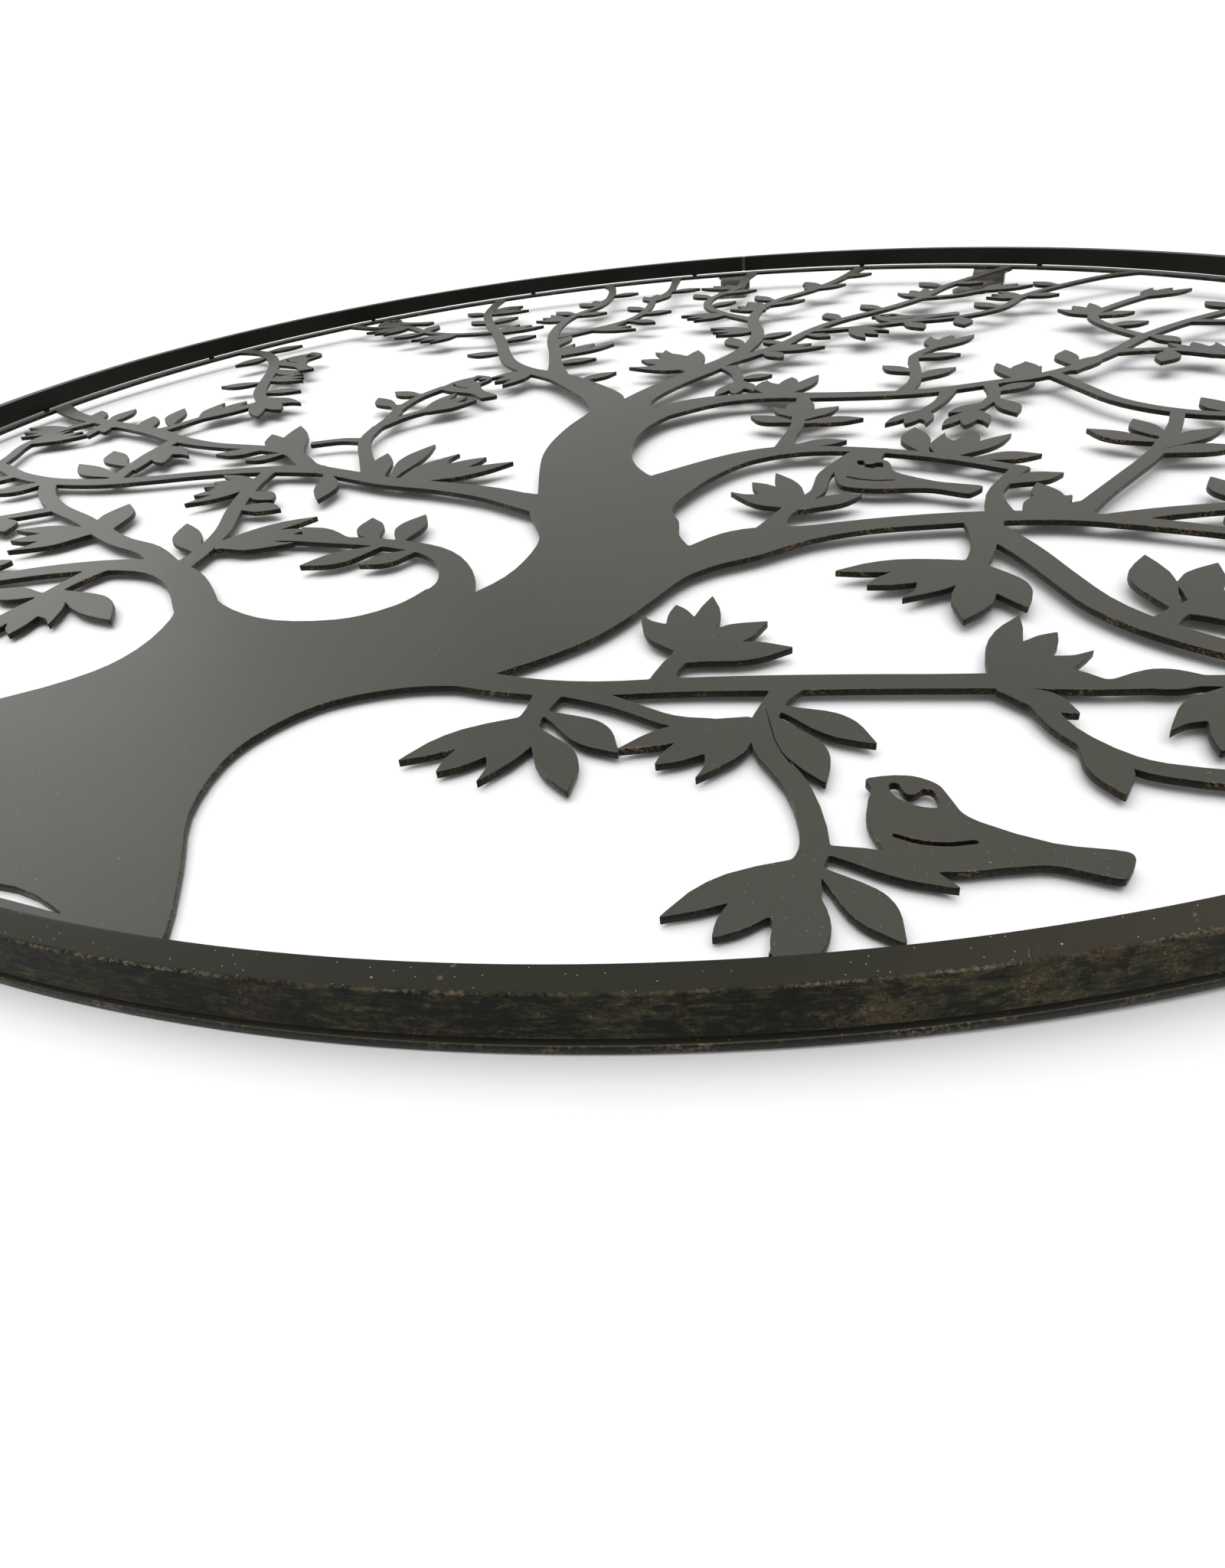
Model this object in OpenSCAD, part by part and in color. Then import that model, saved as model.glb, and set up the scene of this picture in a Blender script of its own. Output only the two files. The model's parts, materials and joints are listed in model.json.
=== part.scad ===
// Round wall panel: a leafing tree with birds cut from one steel sheet, with a flat-bar
// hoop standing on weld tacks along its border and two slotted hangers behind.
// The panel lies on its back: +Z comes out of the front face, +Y points to the crown,
// and Z = 0 is the wall plane, the back of the hangers.
// The sheet is one physical piece. Its border, trunk, boughs and birds are drawn as
// neighbouring solids that meet face to face.

/* [Disc] */
// Outer diameter of the border and the hoop; the tree grows with it
disc_d = 600; // [500:10:720]

/* [Sheet] */
// Thickness of the cut sheet
sheet_t = 1.5; // [1:0.1:3]
// Width of the plain border ring
ring_w = 6; // [4.5:0.5:8]
// Width of the curved wing cut in each bird
kerf_w = 1; // [0.9:0.1:1.5]

/* [Hoop] */
// Height of the flat bar above the sheet
hoop_h = 8; // [5:0.5:14]
// Thickness of the flat bar, across the rim
hoop_w = 5; // [3:0.5:7]
// Clear gap between the sheet and the hoop
hoop_gap = 1; // [0.5:0.1:2]
// Broken corners of the bar
hoop_chamfer = 0.5; // [0.2:0.1:1]
// Gap between the rolled ends, filled by the butt weld
hoop_split = 2; // [1:0.5:4]
// Direction of the butt weld, seen from the front
seam_angle = 104; // [95:1:130]

/* [Tacks] */
// Number of weld tacks that carry the hoop
tack_count = 18; // [8:1:30]
// Diameter of a tack
tack_d = 3; // [2:0.5:4]

/* [Hangers] */
// Distance from the wall to the back of the sheet
standoff = 8; // [6:0.5:14]
// Angle of each hanger from the crown
hanger_angle = 15; // [10:1:25]
// Width of a hanger strip
hanger_w = 18; // [14:1:24]
// Thickness of a hanger strip
hanger_t = 2; // [1.5:0.1:2.5]
// Length of the slotted flange against the wall
flange_l = 26; // [22:1:36]
// Diameter of the hole that passes the screw head
head_d = 9; // [8:0.5:11]
// Width of the neck that holds the screw shank
neck_w = 4.5; // [3.5:0.5:6]
// Size of the fillet welds beside each foot
bead = 1.6; // [1:0.1:2.5]

/* [Hidden] */

disc_r = disc_d / 2;
drawn_r = 300;              // radius of the disc that the tree is drawn on
tree_scale = disc_r / drawn_r;
sheet_z = standoff;
front_z = sheet_z + sheet_t;
hoop_z = front_z + hoop_gap;
hoop_mid_r = disc_r - hoop_w / 2;
split_angle = hoop_split / disc_r * 180 / PI;
rim_step = 0.5;             // a hanger's foot and its welds stop this far inside the rim
foot_in = disc_r - ring_w - 1;
foot_out = disc_r - rim_step;
leg_in = foot_in - hanger_t;
hole_y = leg_in - flange_l / 2 - 2;
neck_reach = 7;             // the neck of a hanger's slot runs this far beyond its head hole
neck_end = hole_y + head_d / 2 + neck_reach - neck_w / 2;
through = 1;                // a cut runs this far past each face
ring_sides = 720;
narrowest_slit = 0.8;       // a slit between two leaves that is narrower is not cut
span = 3;                   // straight pieces between two points of a curve
STEEL = [0.25, 0.24, 0.22];
BRONZE = [0.2, 0.17, 0.13];

// ---- The tree, drawn on a disc of radius 300 ----
// A bough is a list of [x, y, half width]; a leaf [base, tip, width];
// a flower [base, direction, size, side of its long petal].

TRUNK_RIGHT = [[52, -292], [48, -283], [38, -271], [28, -260], [22, -247], [21.5, -236],
               [26, -224], [36, -215], [47, -210], [58, -208]];
TRUNK_FORK_RIGHT = [[53, -203.5], [60, -194], [66, -183], [69, -172], [71, -160], [73, -149],
                    [79, -139], [89, -127]];
TRUNK_INNER_RIGHT = [[66, -132], [61, -126], [57, -117], [51.5, -109], [50.5, -96]];
TRUNK_UPPER_RIGHT = [[32, -83], [25, -76], [18, -65], [13, -51], [11, -36], [13, -22], [18, -12]];
TRUNK_UPPER_LEFT = [[-30, 0], [-24, -10], [-20, -22], [-19, -38], [-16, -56], [-11, -72], [-3, -88],
                    [7, -106]];
TRUNK_INNER_LEFT = [[13, -121], [20, -129], [26, -138], [29, -150], [29.5, -161], [27, -171]];
TRUNK_FORK_LEFT = [[14, -172], [12.5, -181], [6, -190], [-4, -195], [-16, -197], [-30, -194.5],
                   [-44, -188], [-56, -181]];
TRUNK_LEFT = [[-48, -191], [-40, -203], [-35, -215], [-34.5, -226], [-39, -236], [-47, -246],
              [-58, -260], [-65, -274], [-68, -289]];
TRUNK_FOOT = [[-35, -295], [0, -297], [30, -295.5]];
ROOT_CUTS = [[[2, -288.5], [29, -286], 2.2], [[-44, -283.5], [-18, -288], 3]];

LOW_RIGHT = [
    [[46, -206.5, 3.4], [62, -205.5, 3], [76, -202, 2.6], [92, -195.5, 2.6], [106, -190.5, 2.8],
     [122, -185, 2.7], [136, -180.5, 2.6], [147, -177, 2.6], [164, -173, 1.8], [182, -166, 2],
     [203, -163, 2.2], [222, -172, 2.2], [240, -174, 3]],
    [[70, -204, 2.6], [82, -205.5, 1.7], [94, -208, 1.7], [102, -207, 2]],
    [[88, -198, 3], [86.5, -192, 2.2], [87, -184, 2.2]],
    [[68, -206, 3], [69, -213, 2.2], [69.5, -219, 2.4]],
    [[111, -188, 3.2], [110, -196, 2.1], [110.5, -204, 2.3], [114, -212, 2], [121, -219, 2],
     [126, -227, 2], [128.5, -234, 2.2], [128, -240, 2.4]],
    [[182, -166, 2.4], [188, -178, 1.9], [186, -190, 1.9], [190, -204, 1.9], [199, -220, 2.6]],
    [[150, -177, 2], [158, -190, 1.8], [170, -197, 1.8], [184, -196, 2]],
];
LOW_RIGHT_LEAVES = [
    [[71, -213], [90, -220.5], 7], [[71, -218], [87, -233.5], 7], [[111, -198], [130.5, -204], 6.5],
    [[112, -202], [125.5, -217.5], 6.5], [[148, -175], [163, -171.5], 6], [[163, -173], [181, -166], 7],
    [[146, -180], [160, -184.5], 6], [[128.5, -233.2], [149.3, -234.8], 4.6],
    [[130.5, -237.8], [144.8, -247.6], 6.2], [[128.4, -238.5], [132.2, -260], 7.4],
    [[88, -185], [98.5, -166], 8], [[88, -187], [107, -175.5], 7.5], [[160, -191], [168, -206], 6.5],
    [[188, -180], [206, -187], 7], [[206, -164], [222, -152], 7.5], [[191, -205], [210, -207], 7],
];
LOW_RIGHT_FLOWERS = [
    [[87, -183], 120, 0.95, 1], [[70, -216], 250, 0.94, 1], [[108, -204], 240, 0.9, 1],
    [[129, -237], 248, 0.88, 1], [[146, -177], 70, 1, -1], [[183, -169], 262, 0.9, -1],
    [[214, -170], 350, 0.9, 1],
];

MID_RIGHT = [
    [[68, -143, 5.5], [79, -127, 8.8], [92, -117, 4.6], [105, -108.5, 3.5], [120, -101.5, 3.6],
     [135, -96, 3.3], [150, -93, 2.7], [166, -93, 2.6], [184, -95, 2.1], [208, -98, 2], [236, -94, 2],
     [262, -94, 2], [285, -84, 3]],
    [[83, -120, 5], [82, -110, 2.6], [83, -100, 2.2], [86, -88, 2], [84, -74, 2], [86, -60, 2],
     [89, -49, 2.4]],
    [[131, -99, 5], [133, -110, 3.2], [134, -120, 2.6], [133.5, -129, 2.6]],
    [[131, -102, 4], [143, -116, 3.6], [152, -129, 3.3], [161, -141, 3.3], [174, -150, 3],
     [192, -155, 2.6], [214, -150, 2.4], [236, -138, 2.4], [258, -142, 3]],
    [[134, -93, 3.4], [131, -80, 2], [133, -66, 2], [135, -58, 2.4]],
    [[151, -94, 3], [156, -76, 2.3], [161, -60, 2.2], [166, -44, 2.2], [169.5, -28, 2.2],
     [171.5, -12, 2], [172, 3, 2]],
    [[158, -93, 3], [172, -84.5, 2.6], [190, -76, 2.2], [212, -66, 2], [234, -52, 2], [258, -48, 2],
     [290, -50, 3]],
    [[214, -66, 2.2], [226, -78, 1.8], [242, -80, 1.8]],
    [[170, -150, 3], [173, -142, 2], [177, -136, 2]],
];
MID_RIGHT_LEAVES = [
    [[85, -102], [98.5, -88], 7], [[133, -129], [136, -155], 8.5], [[134, -126], [147, -146], 8],
    [[174, -140], [167, -113], 8.5], [[177, -138], [181, -114], 8], [[169, -30], [148, -20], 7.5],
    [[170, -26], [160, -8], 7.5], [[169, -36], [184, -14], 7.5], [[168, -40], [188, -31], 7.5],
    [[176, -140], [194, -139], 7.5], [[196, -155], [208, -138], 8], [[229, -141], [224, -121], 8],
    [[190, -76], [180, -58], 7.5],
    [[234, -95], [246, -110], 8], [[206, -98], [222, -112], 8], [[260, -48], [268, -30], 8],
    [[254, -49], [250, -30], 7.5], [[150, -88], [140, -70], 7], [[133, -72], [146, -61], 7],
    [[262, -93], [272, -108], 7.5], [[236, -52], [228, -34], 7.5],
];
MID_RIGHT_FLOWERS = [
    [[84, -100], 140, 1.05, 1], [[132.5, -127], 222, 1.1, 1], [[141, -93], 62, 0.75, 1],
    [[176, -137], 20, 0.8, 1], [[206, -97], 318, 0.85, 1], [[240, -80], 12, 0.85, 1],
    [[206, -68], 110, 0.85, 1], [[240, -139], 50, 0.85, -1], [[258, -48], 300, 0.8, 1],
];

INNER_RIGHT = [
    [[38, -102, 13], [44, -84, 8.5], [52, -67, 5.5], [61, -57, 4.4], [72, -52, 3], [86, -50, 2.2],
     [101, -50.5, 2.1], [116, -53, 2.2], [128, -57, 2.3], [136, -60, 2.4]],
    [[91, -48, 5], [92, -60, 4]],
    [[66, -56, 4], [63, -42, 2.3], [61.5, -28, 2.1], [58, -15, 2.1], [55, -2, 2.2], [53, 9, 2.6]],
];
INNER_RIGHT_LEAVES = [
    [[67, -50], [82, -41.5], 6.5], [[62, -25], [81, -17], 7], [[61, -22], [69, -4], 7],
    [[60, -24], [42, -19], 7.5], [[108, -51], [99, -25], 8.5], [[121, -54], [139, -46], 7],
];
INNER_RIGHT_FLOWERS = [[[113, -52], 78, 1.05, 1], [[59, -18], 118, 0.8, 1]];

UPPER_RIGHT = [
    [[5, -27, 4.6], [12, -11, 6.6], [20, -2, 5.6], [29, 3.5, 4.4], [41, 7.5, 3.9], [56, 9, 3.6],
     [71, 11.5, 3.4], [86, 15, 3], [99, 21, 2.7], [113, 31, 2.5], [128, 42, 2.5], [140, 58, 2.3],
     [150, 80, 2.3], [159, 106, 2.3], [174, 134, 2.2], [192, 160, 2.2], [206, 186, 2.2],
     [214, 205, 3]],
    [[132, 46, 2.6], [144, 28, 2.3], [155, 13, 2.2], [170, 3, 2.2], [188, 0, 2.2], [212, 6, 2.1],
     [238, 8, 2.1], [264, 0, 2.1], [295, 2, 3]],
    [[86, 14, 3], [87, 32, 2.2], [83, 52, 2], [79, 70, 2], [84, 88, 2]],
    [[150, 80, 2.4], [168, 84, 2], [190, 76, 2], [212, 82, 2], [236, 90, 2], [260, 84, 2],
     [286, 76, 3]],
    [[212, 82, 2.2], [222, 66, 1.9], [236, 52, 1.9], [254, 46, 1.9]],
    [[174, 134, 2.4], [196, 134, 2], [216, 142, 2], [238, 138, 2], [256, 144, 3]],
    [[101, 22, 2.8], [101, 6, 2], [98, -8, 2]],
    [[113, 31, 2.6], [117, 14, 2], [114, -2, 2]],
    [[159, 106, 2.4], [146, 124, 2], [138, 146, 2], [146, 170, 2], [158, 192, 2.2]],
];
UPPER_RIGHT_LEAVES = [
    [[41, 8], [31, 27], 7.5], [[87, 34], [98, 53], 7.5], [[85, 45], [70, 54], 7],
    [[128, 43], [121, 63], 7.5], [[139, 57], [133, 82], 8], [[139, 50], [147, 74], 7.5],
    [[117, 20], [128, 33], 6.5], [[117, 12], [127, -6], 7], [[116, 6], [106, -8], 6.5],
    [[190, 0], [178, 18], 8], [[212, 6], [222, 24], 8], [[238, 8], [250, 24], 7.5],
    [[240, 7], [252, -12], 7.5], [[168, 84], [166, 64], 8], [[190, 76], [198, 58], 8],
    [[192, 77], [206, 94], 8], [[236, 90], [242, 108], 8], [[216, 142], [214, 161], 8],
    [[216, 142], [228, 158], 7.5], [[160, 108], [172, 96], 7.5], [[192, 160], [180, 174], 8],
    [[203, 180], [216, 170], 7], [[258, 84], [266, 100], 7.5], [[214, 6], [206, -12], 7.5],
    [[145, 124], [160, 134], 7.5], [[139, 146], [154, 154], 7.5], [[79, 67], [96, 75], 7.5],
];
UPPER_RIGHT_FLOWERS = [
    [[44, 9], 100, 1.1, 1], [[84, 86], 84, 0.95, 1], [[98, -6], 262, 0.7, 1],
    [[122, 38], 96, 0.9, -1], [[114, -4], 270, 0.75, 1], [[252, 46], 350, 0.85, 1],
    [[196, 134], 318, 0.85, 1], [[236, 91], 130, 0.8, 1], [[264, 1], 60, 0.8, 1],
    [[138, 148], 118, 0.95, 1], [[183, 77], 112, 0.85, -1], [[200, 3], 300, 0.8, 1],
    [[157, 189], 62, 0.9, 1],
];

TOP = [
    [[-2, -26, 10], [-8, -8, 6.6], [-7.5, 10, 5.6], [-4, 28, 5.4], [0, 45, 5.8], [3.5, 62, 4.6],
     [4, 80, 3.6], [2, 100, 3.2], [-4, 120, 2.8], [-14, 142, 2.6], [-20, 168, 2.4], [-18, 196, 2.3],
     [-8, 224, 2.3], [-2, 256, 2.4], [0, 296, 3]],
    [[4, 58, 4.6], [13, 76, 3], [19, 96, 2.6], [22, 118, 2.4], [30, 142, 2.4], [44, 166, 2.3],
     [56, 194, 2.3], [62, 224, 2.2], [74, 256, 2.2], [86, 284, 3]],
    [[-15, 144, 3], [-34, 158, 2.2], [-52, 178, 2.1], [-60, 204, 2.1], [-56, 234, 2.1],
     [-62, 262, 2.2], [-66, 290, 3]],
    [[22, 118, 2.8], [40, 124, 2.1], [60, 136, 2], [82, 146, 2], [98, 166, 2], [104, 194, 2],
     [118, 220, 2], [136, 244, 2.2], [152, 255, 3]],
    [[56, 194, 2.4], [72, 200, 1.9], [84, 214, 1.9]],
    [[8, 50, 4], [16, 38, 2.2], [22, 24, 2]],
];
TOP_LEAVES = [
    [[-3, 44], [-17, 78], 9], [[-6, 40], [-33, 78], 8], [[13, 76], [26, 66], 7.5],
    [[3, 84], [-12, 104], 8], [[2, 100], [14, 116], 7.5], [[-18, 176], [-34, 190], 8],
    [[-18, 180], [-4, 196], 8], [[-19, 192], [-36, 208], 7.5], [[-8, 224], [6, 240], 8],
    [[-6, 232], [-20, 248], 8], [[30, 142], [18, 158], 8], [[44, 166], [30, 178], 8],
    [[62, 224], [46, 238], 8], [[64, 232], [80, 234], 7.5], [[-52, 178], [-42, 194], 7.5],
    [[-60, 204], [-76, 216], 8], [[-58, 216], [-42, 228], 7.5], [[82, 146], [88, 128], 8],
    [[60, 136], [72, 122], 8], [[98, 166], [84, 180], 8], [[104, 194], [120, 198], 8],
    [[18, 92], [6, 98], 6], [[118, 220], [104, 232], 7.5],
    [[20, 30], [31, 38], 6.5], [[-2, 262], [12, 274], 7.5], [[22, 110], [35, 106], 7],
];
TOP_FLOWERS = [
    [[-4, 48], 162, 1.5, 1], [[14, 78], 42, 0.95, 1], [[40, 124], 318, 0.9, 1],
    [[-18, 168], 150, 0.9, 1], [[-4, 120], 192, 0.95, 1], [[84, 212], 50, 0.9, 1],
    [[22, 26], 284, 0.8, 1], [[-34, 158], 208, 0.9, 1], [[104, 190], 148, 0.8, 1],
    [[-57, 232], 150, 0.85, -1], [[56, 196], 118, 0.9, 1],
    [[-10, 224], 88, 0.7, 1],
];

UPPER_LEFT = [
    [[-11, -24, 6], [-23, -3, 7.4], [-43, 15, 6.4], [-62, 29, 5], [-82, 38, 3.6], [-100, 52, 3.2],
     [-116, 72, 3], [-132, 95, 2.8], [-150, 118, 2.6], [-168, 140, 2.5], [-186, 166, 2.4],
     [-198, 192, 2.3], [-206, 213, 3]],
    [[-62, 29, 5], [-76, 52, 3], [-90, 76, 2.8], [-106, 102, 2.6], [-118, 130, 2.4], [-124, 158, 2.3],
     [-122, 186, 2.2], [-130, 216, 2.2], [-142, 242, 2.3], [-152, 255, 3]],
    [[-106, 102, 2.6], [-94, 122, 2.1], [-84, 146, 2], [-86, 172, 2], [-94, 200, 2], [-96, 226, 2],
     [-104, 252, 2.1], [-112, 274, 3]],
    [[-150, 118, 2.6], [-172, 112, 2.1], [-196, 118, 2], [-220, 132, 2], [-244, 130, 2],
     [-264, 136, 3]],
];
UPPER_LEFT_LEAVES = [
    [[-76, 50], [-60, 62], 8], [[-90, 76], [-72, 78], 8], [[-94, 82], [-98, 108], 8.5],
    [[-116, 72], [-134, 66], 8], [[-132, 95], [-120, 110], 8], [[-168, 140], [-184, 146], 8],
    [[-168, 140], [-160, 158], 8], [[-186, 166], [-202, 168], 7.5], [[-196, 118], [-200, 136], 8],
    [[-196, 118], [-208, 104], 8], [[-124, 158], [-108, 168], 8], [[-124, 162], [-142, 170], 8],
    [[-122, 186], [-140, 194], 7.5], [[-86, 172], [-102, 182], 7.5], [[-85, 160], [-70, 170], 7.5],
    [[-96, 226], [-80, 236], 7.5], [[-130, 216], [-116, 226], 7.5], [[-48, 21], [-38, 38], 7.5],
    [[-84, 144], [-66, 140], 7.5], [[-190, 176], [-176, 190], 7.5],
];
UPPER_LEFT_FLOWERS = [
    [[-84, 66], 74, 1.15, 1], [[-123, 146], 160, 0.85, 1], [[-148, 116], 62, 0.95, 1],
    [[-186, 166], 50, 0.9, 1], [[-218, 131], 236, 0.9, 1], [[-94, 122], 26, 0.9, 1],
    [[-122, 186], 128, 0.85, 1], [[-94, 198], 108, 0.9, 1], [[-172, 112], 236, 0.9, 1],
    [[-80, 38], 250, 0.95, -1],
];

MID_LEFT = [
    [[20, -113, 9], [6, -111.5, 5.4], [-10, -107.5, 4.3], [-30, -105.5, 3.6], [-50, -105, 3.4],
     [-70, -101.5, 3.2], [-88, -98, 3.2], [-99, -91, 3], [-111, -84, 3], [-128, -82, 2.6],
     [-152, -82, 2.5], [-176, -78, 3.2], [-197, -71, 3.4], [-220, -66, 3], [-246, -61, 3],
     [-270, -54, 3.2], [-292, -44, 4]],
    [[-58, -103, 3.4], [-74, -86, 2.5], [-90, -67, 2.3], [-97, -50, 2.3], [-101, -34, 2.2],
     [-110, -22, 2]],
    [[-84, -99, 4], [-105, -103, 3.2], [-126, -111, 2.8], [-146, -121, 3], [-162, -127, 3.4],
     [-184, -130, 3], [-207, -127, 2.6], [-230, -120, 2.6], [-252, -122, 2.6], [-270, -124, 3.4]],
    [[-176, -79, 3.2], [-172, -92, 2.6], [-166, -108, 2.6], [-158, -124, 3]],
    [[-197, -71, 3.4], [-194, -58, 2.4], [-192, -48, 2.2]],
    [[-97, -52, 2.4], [-95, -36, 2], [-90, -26, 2]],
    [[-99, -42, 2.2], [-105, -26, 2.1], [-108, -8, 2.1], [-106, 8, 2.4]],
    [[-291, 70, 4], [-268, 66, 2.8], [-246, 50, 2.8], [-228, 30, 2.7], [-212, 8, 2.7],
     [-198, -10, 2.8], [-184, -22, 2.6]],
    [[-90, -67, 2.3], [-100, -68, 2], [-110, -74, 2]],
    [[-246, -61, 3], [-250, -78, 2.2], [-246, -96, 2.2], [-236, -110, 2.2], [-230, -120, 2.6]],
    [[-207, -127, 2.6], [-214, -142, 2.2], [-226, -158, 2.2], [-238, -175, 3]],
];
MID_LEFT_LEAVES = [
    [[-108, -24], [-127, -12], 7], [[-104, -86], [-133, -54], 9.5], [[-112, -83], [-137, -66], 8],
    [[-124, -82], [-141, -92], 7.5], [[-112, -86], [-122, -96], 6], [[-50, -103], [-58, -67], 8],
    [[-54, -103], [-70, -79], 7.5], [[-203, -69], [-221, -51], 8], [[-198, -62], [-216, -38], 8],
    [[-243, -62], [-260, -47], 7.5], [[-234, -64], [-243, -42], 8], [[-168, -110], [-192, -96], 8.5],
    [[-158, -121], [-192, -112], 8], [[-78, -102], [-62, -125], 7.5], [[-184, -130], [-196, -146], 8],
    [[-252, -122], [-262, -106], 7.5], [[-226, -158], [-210, -166], 8], [[-214, -142], [-232, -140], 7.5],
    [[-227, 30], [-206, 22], 8], [[-212, 8], [-231, -2], 8], [[-258, 60], [-262, 38], 8.5],
    [[-198, -10], [-178, -4], 7.5], [[-268, 66], [-258, 86], 8], [[-108, -6], [-126, -2], 7],
];
MID_LEFT_FLOWERS = [
    [[-45, -104], 62, 1.35, 1], [[-90, -28], 78, 1, -1], [[-192, -50], 92, 1.15, 1],
    [[-174, -88], 320, 1.1, 1], [[-246, -94], 62, 0.9, 1], [[-248, -74], 205, 0.9, 1],
    [[-212, -138], 300, 0.85, 1], [[-252, -122], 270, 0.85, 1], [[-236, -64], 320, 0.75, 1],
    [[-186, -20], 330, 1.2, 1], [[-214, 12], 24, 0.8, 1],
];

CURL_LEFT = [
    [[22, -180, 8], [19, -167, 5], [11, -157, 3.6], [2, -151.5, 3], [-9, -149.5, 2.6],
     [-22, -150, 2.5], [-35, -151.5, 2.4], [-48, -153, 2.4], [-58, -156, 2.6]],
];
CURL_LEFT_LEAVES = [
    [[-12, -149], [-18, -128], 8], [[-20, -149], [-33, -134], 7.5], [[-16, -151], [-30, -169], 8],
    [[-28, -150], [-50, -145.5], 7.5], [[-4, -151], [-14, -164], 6.5],
];
CURL_LEFT_FLOWERS = [];

LOW_LEFT = [
    [[-38, -197, 5.4], [-56, -184.5, 4.8], [-72, -180, 4.2], [-88, -183, 3.7], [-103, -190, 3.4],
     [-119, -201, 3.2], [-136, -212, 3], [-156, -222, 2.8], [-176, -236, 3.4]],
    [[-60, -183, 3.4], [-84, -171.5, 3.2], [-100, -168.5, 3], [-115, -163.5, 3], [-132, -157, 2.7],
     [-152, -151, 2.7], [-170, -142, 2.8], [-184, -131, 3]],
    [[-64, -182, 4], [-67, -168, 2.8], [-74, -153, 2.6], [-84, -139, 2.6], [-92, -126, 2.6],
     [-98, -114, 2.6], [-102, -104, 2.6]],
    [[-88, -182, 4], [-88.5, -194, 2.6], [-87, -205, 2.4]],
    [[-119, -200, 3.4], [-122, -216, 2.4], [-118, -232, 2.2], [-122, -250, 2.2], [-132, -265, 3]],
    [[-152, -151, 2.7], [-166, -164, 2.4], [-182, -176, 2.3], [-200, -190, 2.3], [-214, -206, 3]],
    [[-136, -212, 3], [-150, -204, 2.2], [-164, -202, 2]],
    [[-66, -164, 2.8], [-61, -159, 2.4], [-56, -156, 2.2]],
];
LOW_LEFT_LEAVES = [
    [[-67, -169], [-91, -151.5], 8], [[-112, -164], [-128, -142], 10.5], [[-87, -200], [-55, -209], 8.5],
    [[-88, -203], [-108, -205], 7.5], [[-86, -137], [-69, -134], 7.5], [[-93, -124], [-78, -128], 7],
    [[-118, -232], [-102, -242], 8], [[-122, -216], [-136, -230], 7.5], [[-166, -164], [-150, -172], 7.5],
    [[-182, -176], [-184, -158], 8], [[-200, -190], [-186, -200], 8], [[-156, -222], [-146, -236], 7.5],
    [[-120, -226], [-104, -222], 7],
];
LOW_LEFT_FLOWERS = [
    [[-87, -203], 302, 1, 1], [[-66, -163], 40, 1.1, -1], [[-96, -117], 222, 0.88, -1],
    [[-118, -165], 210, 1.1, 1], [[-121, -246], 38, 0.85, 1], [[-162, -202], 175, 0.9, 1],
    [[-184, -177], 216, 0.9, 1], [[-156, -222], 300, 0.8, 1], [[-96, -117], 185, 0.8, 1],
];

// Birds: [belly, turn, size, 1 facing left or -1 facing right]
BIRD_LOW_RIGHT = [[141, -232.5], 0, 1, 1];
BIRD_INNER_RIGHT = [[92, -82], -14, 1.15, 1];
BIRD_FAR_RIGHT = [[210, -97.5], 0, 0.95, -1];
BIRD_TOP_RIGHT = [[58, 135], 20, 1, 1];
BIRD_TOP_LEFT = [[-238, 131], 4, 1, 1];
BIRD_FAR_LEFT = [[-240, 45], -40, 1.15, 1];
BIRD_MID_LEFT = [[-106, 5], -38, 1.1, 1];
BIRD_LOW_LEFT = [[-150, -204], 6, 1, 1];

BIRD_BODY = [[-10, 18], [-8, 19.6], [-5.5, 20.8], [-2.5, 21.3], [1, 20.2], [3.5, 17], [6, 14],
             [11, 12.4], [19, 11.6], [27, 13], [28.8, 12], [28.2, 8], [27, 6.8], [19, 6.7], [13, 4],
             [8, 1.2], [3, -0.3], [-1, 0], [-4, 3], [-7, 7.5], [-8.2, 12.5], [-8.4, 16]];
BIRD_EYE = [[-6.3, 18], [-5, 15.5], [-2, 14], [1.5, 14.2], [2, 15.5], [0.5, 18.5], [-1, 18.6],
            [-1.7, 17], [-3, 16.2], [-4.2, 17.5], [-5, 18.8]];
WING_CUT = [[-3, 5.9], [1, 5.5], [5, 6.4], [8.8, 8.5]];

PETALS = [[[-1.8, -1], [-4.5, 2], [-8.8, 7], [-10, 13], [-9.8, 20]],
          [[-9.8, 20], [-7.2, 16], [-3.5, 13.5]],
          [[-3.5, 13.5], [-2.2, 18.5], [0.5, 23]],
          [[0.5, 23], [3.2, 19.5], [4.5, 15.5]],
          [[4.5, 15.5], [7.5, 20.5], [11.5, 25.5]],
          [[11.5, 25.5], [12.2, 18], [10.5, 11], [6, 4], [1.8, -1]]];

// ---- Curves ----
function blend(a, b, c, d, t) =
    0.5 * (2 * b + (c - a) * t + (2 * a - 5 * b + 4 * c - d) * t * t + (3 * b - a - 3 * c + d) * t * t * t);
function curve(p, n = span) = concat(
    [for (i = [0:len(p) - 2], k = [0:n - 1])
        blend(p[max(i - 1, 0)], p[i], p[i + 1], p[min(i + 2, len(p) - 1)], k / n)],
    [p[len(p) - 1]]);
function closed_curve(p, n = span) =
    [for (i = [0:len(p) - 1], k = [0:n - 1])
        blend(p[(i + len(p) - 1) % len(p)], p[i], p[(i + 1) % len(p)], p[(i + 2) % len(p)], k / n)];
function joined(parts) = [for (part = parts) for (p = part) p];
function heading(c, i) =
    let (d = c[min(i + 1, len(c) - 1)] - c[max(i - 1, 0)]) [d[0], d[1]] / norm([d[0], d[1]]);
function edge_point(c, i, side) =
    let (h = heading(c, i)) [c[i][0] - side * c[i][2] * h[1], c[i][1] + side * c[i][2] * h[0]];

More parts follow.
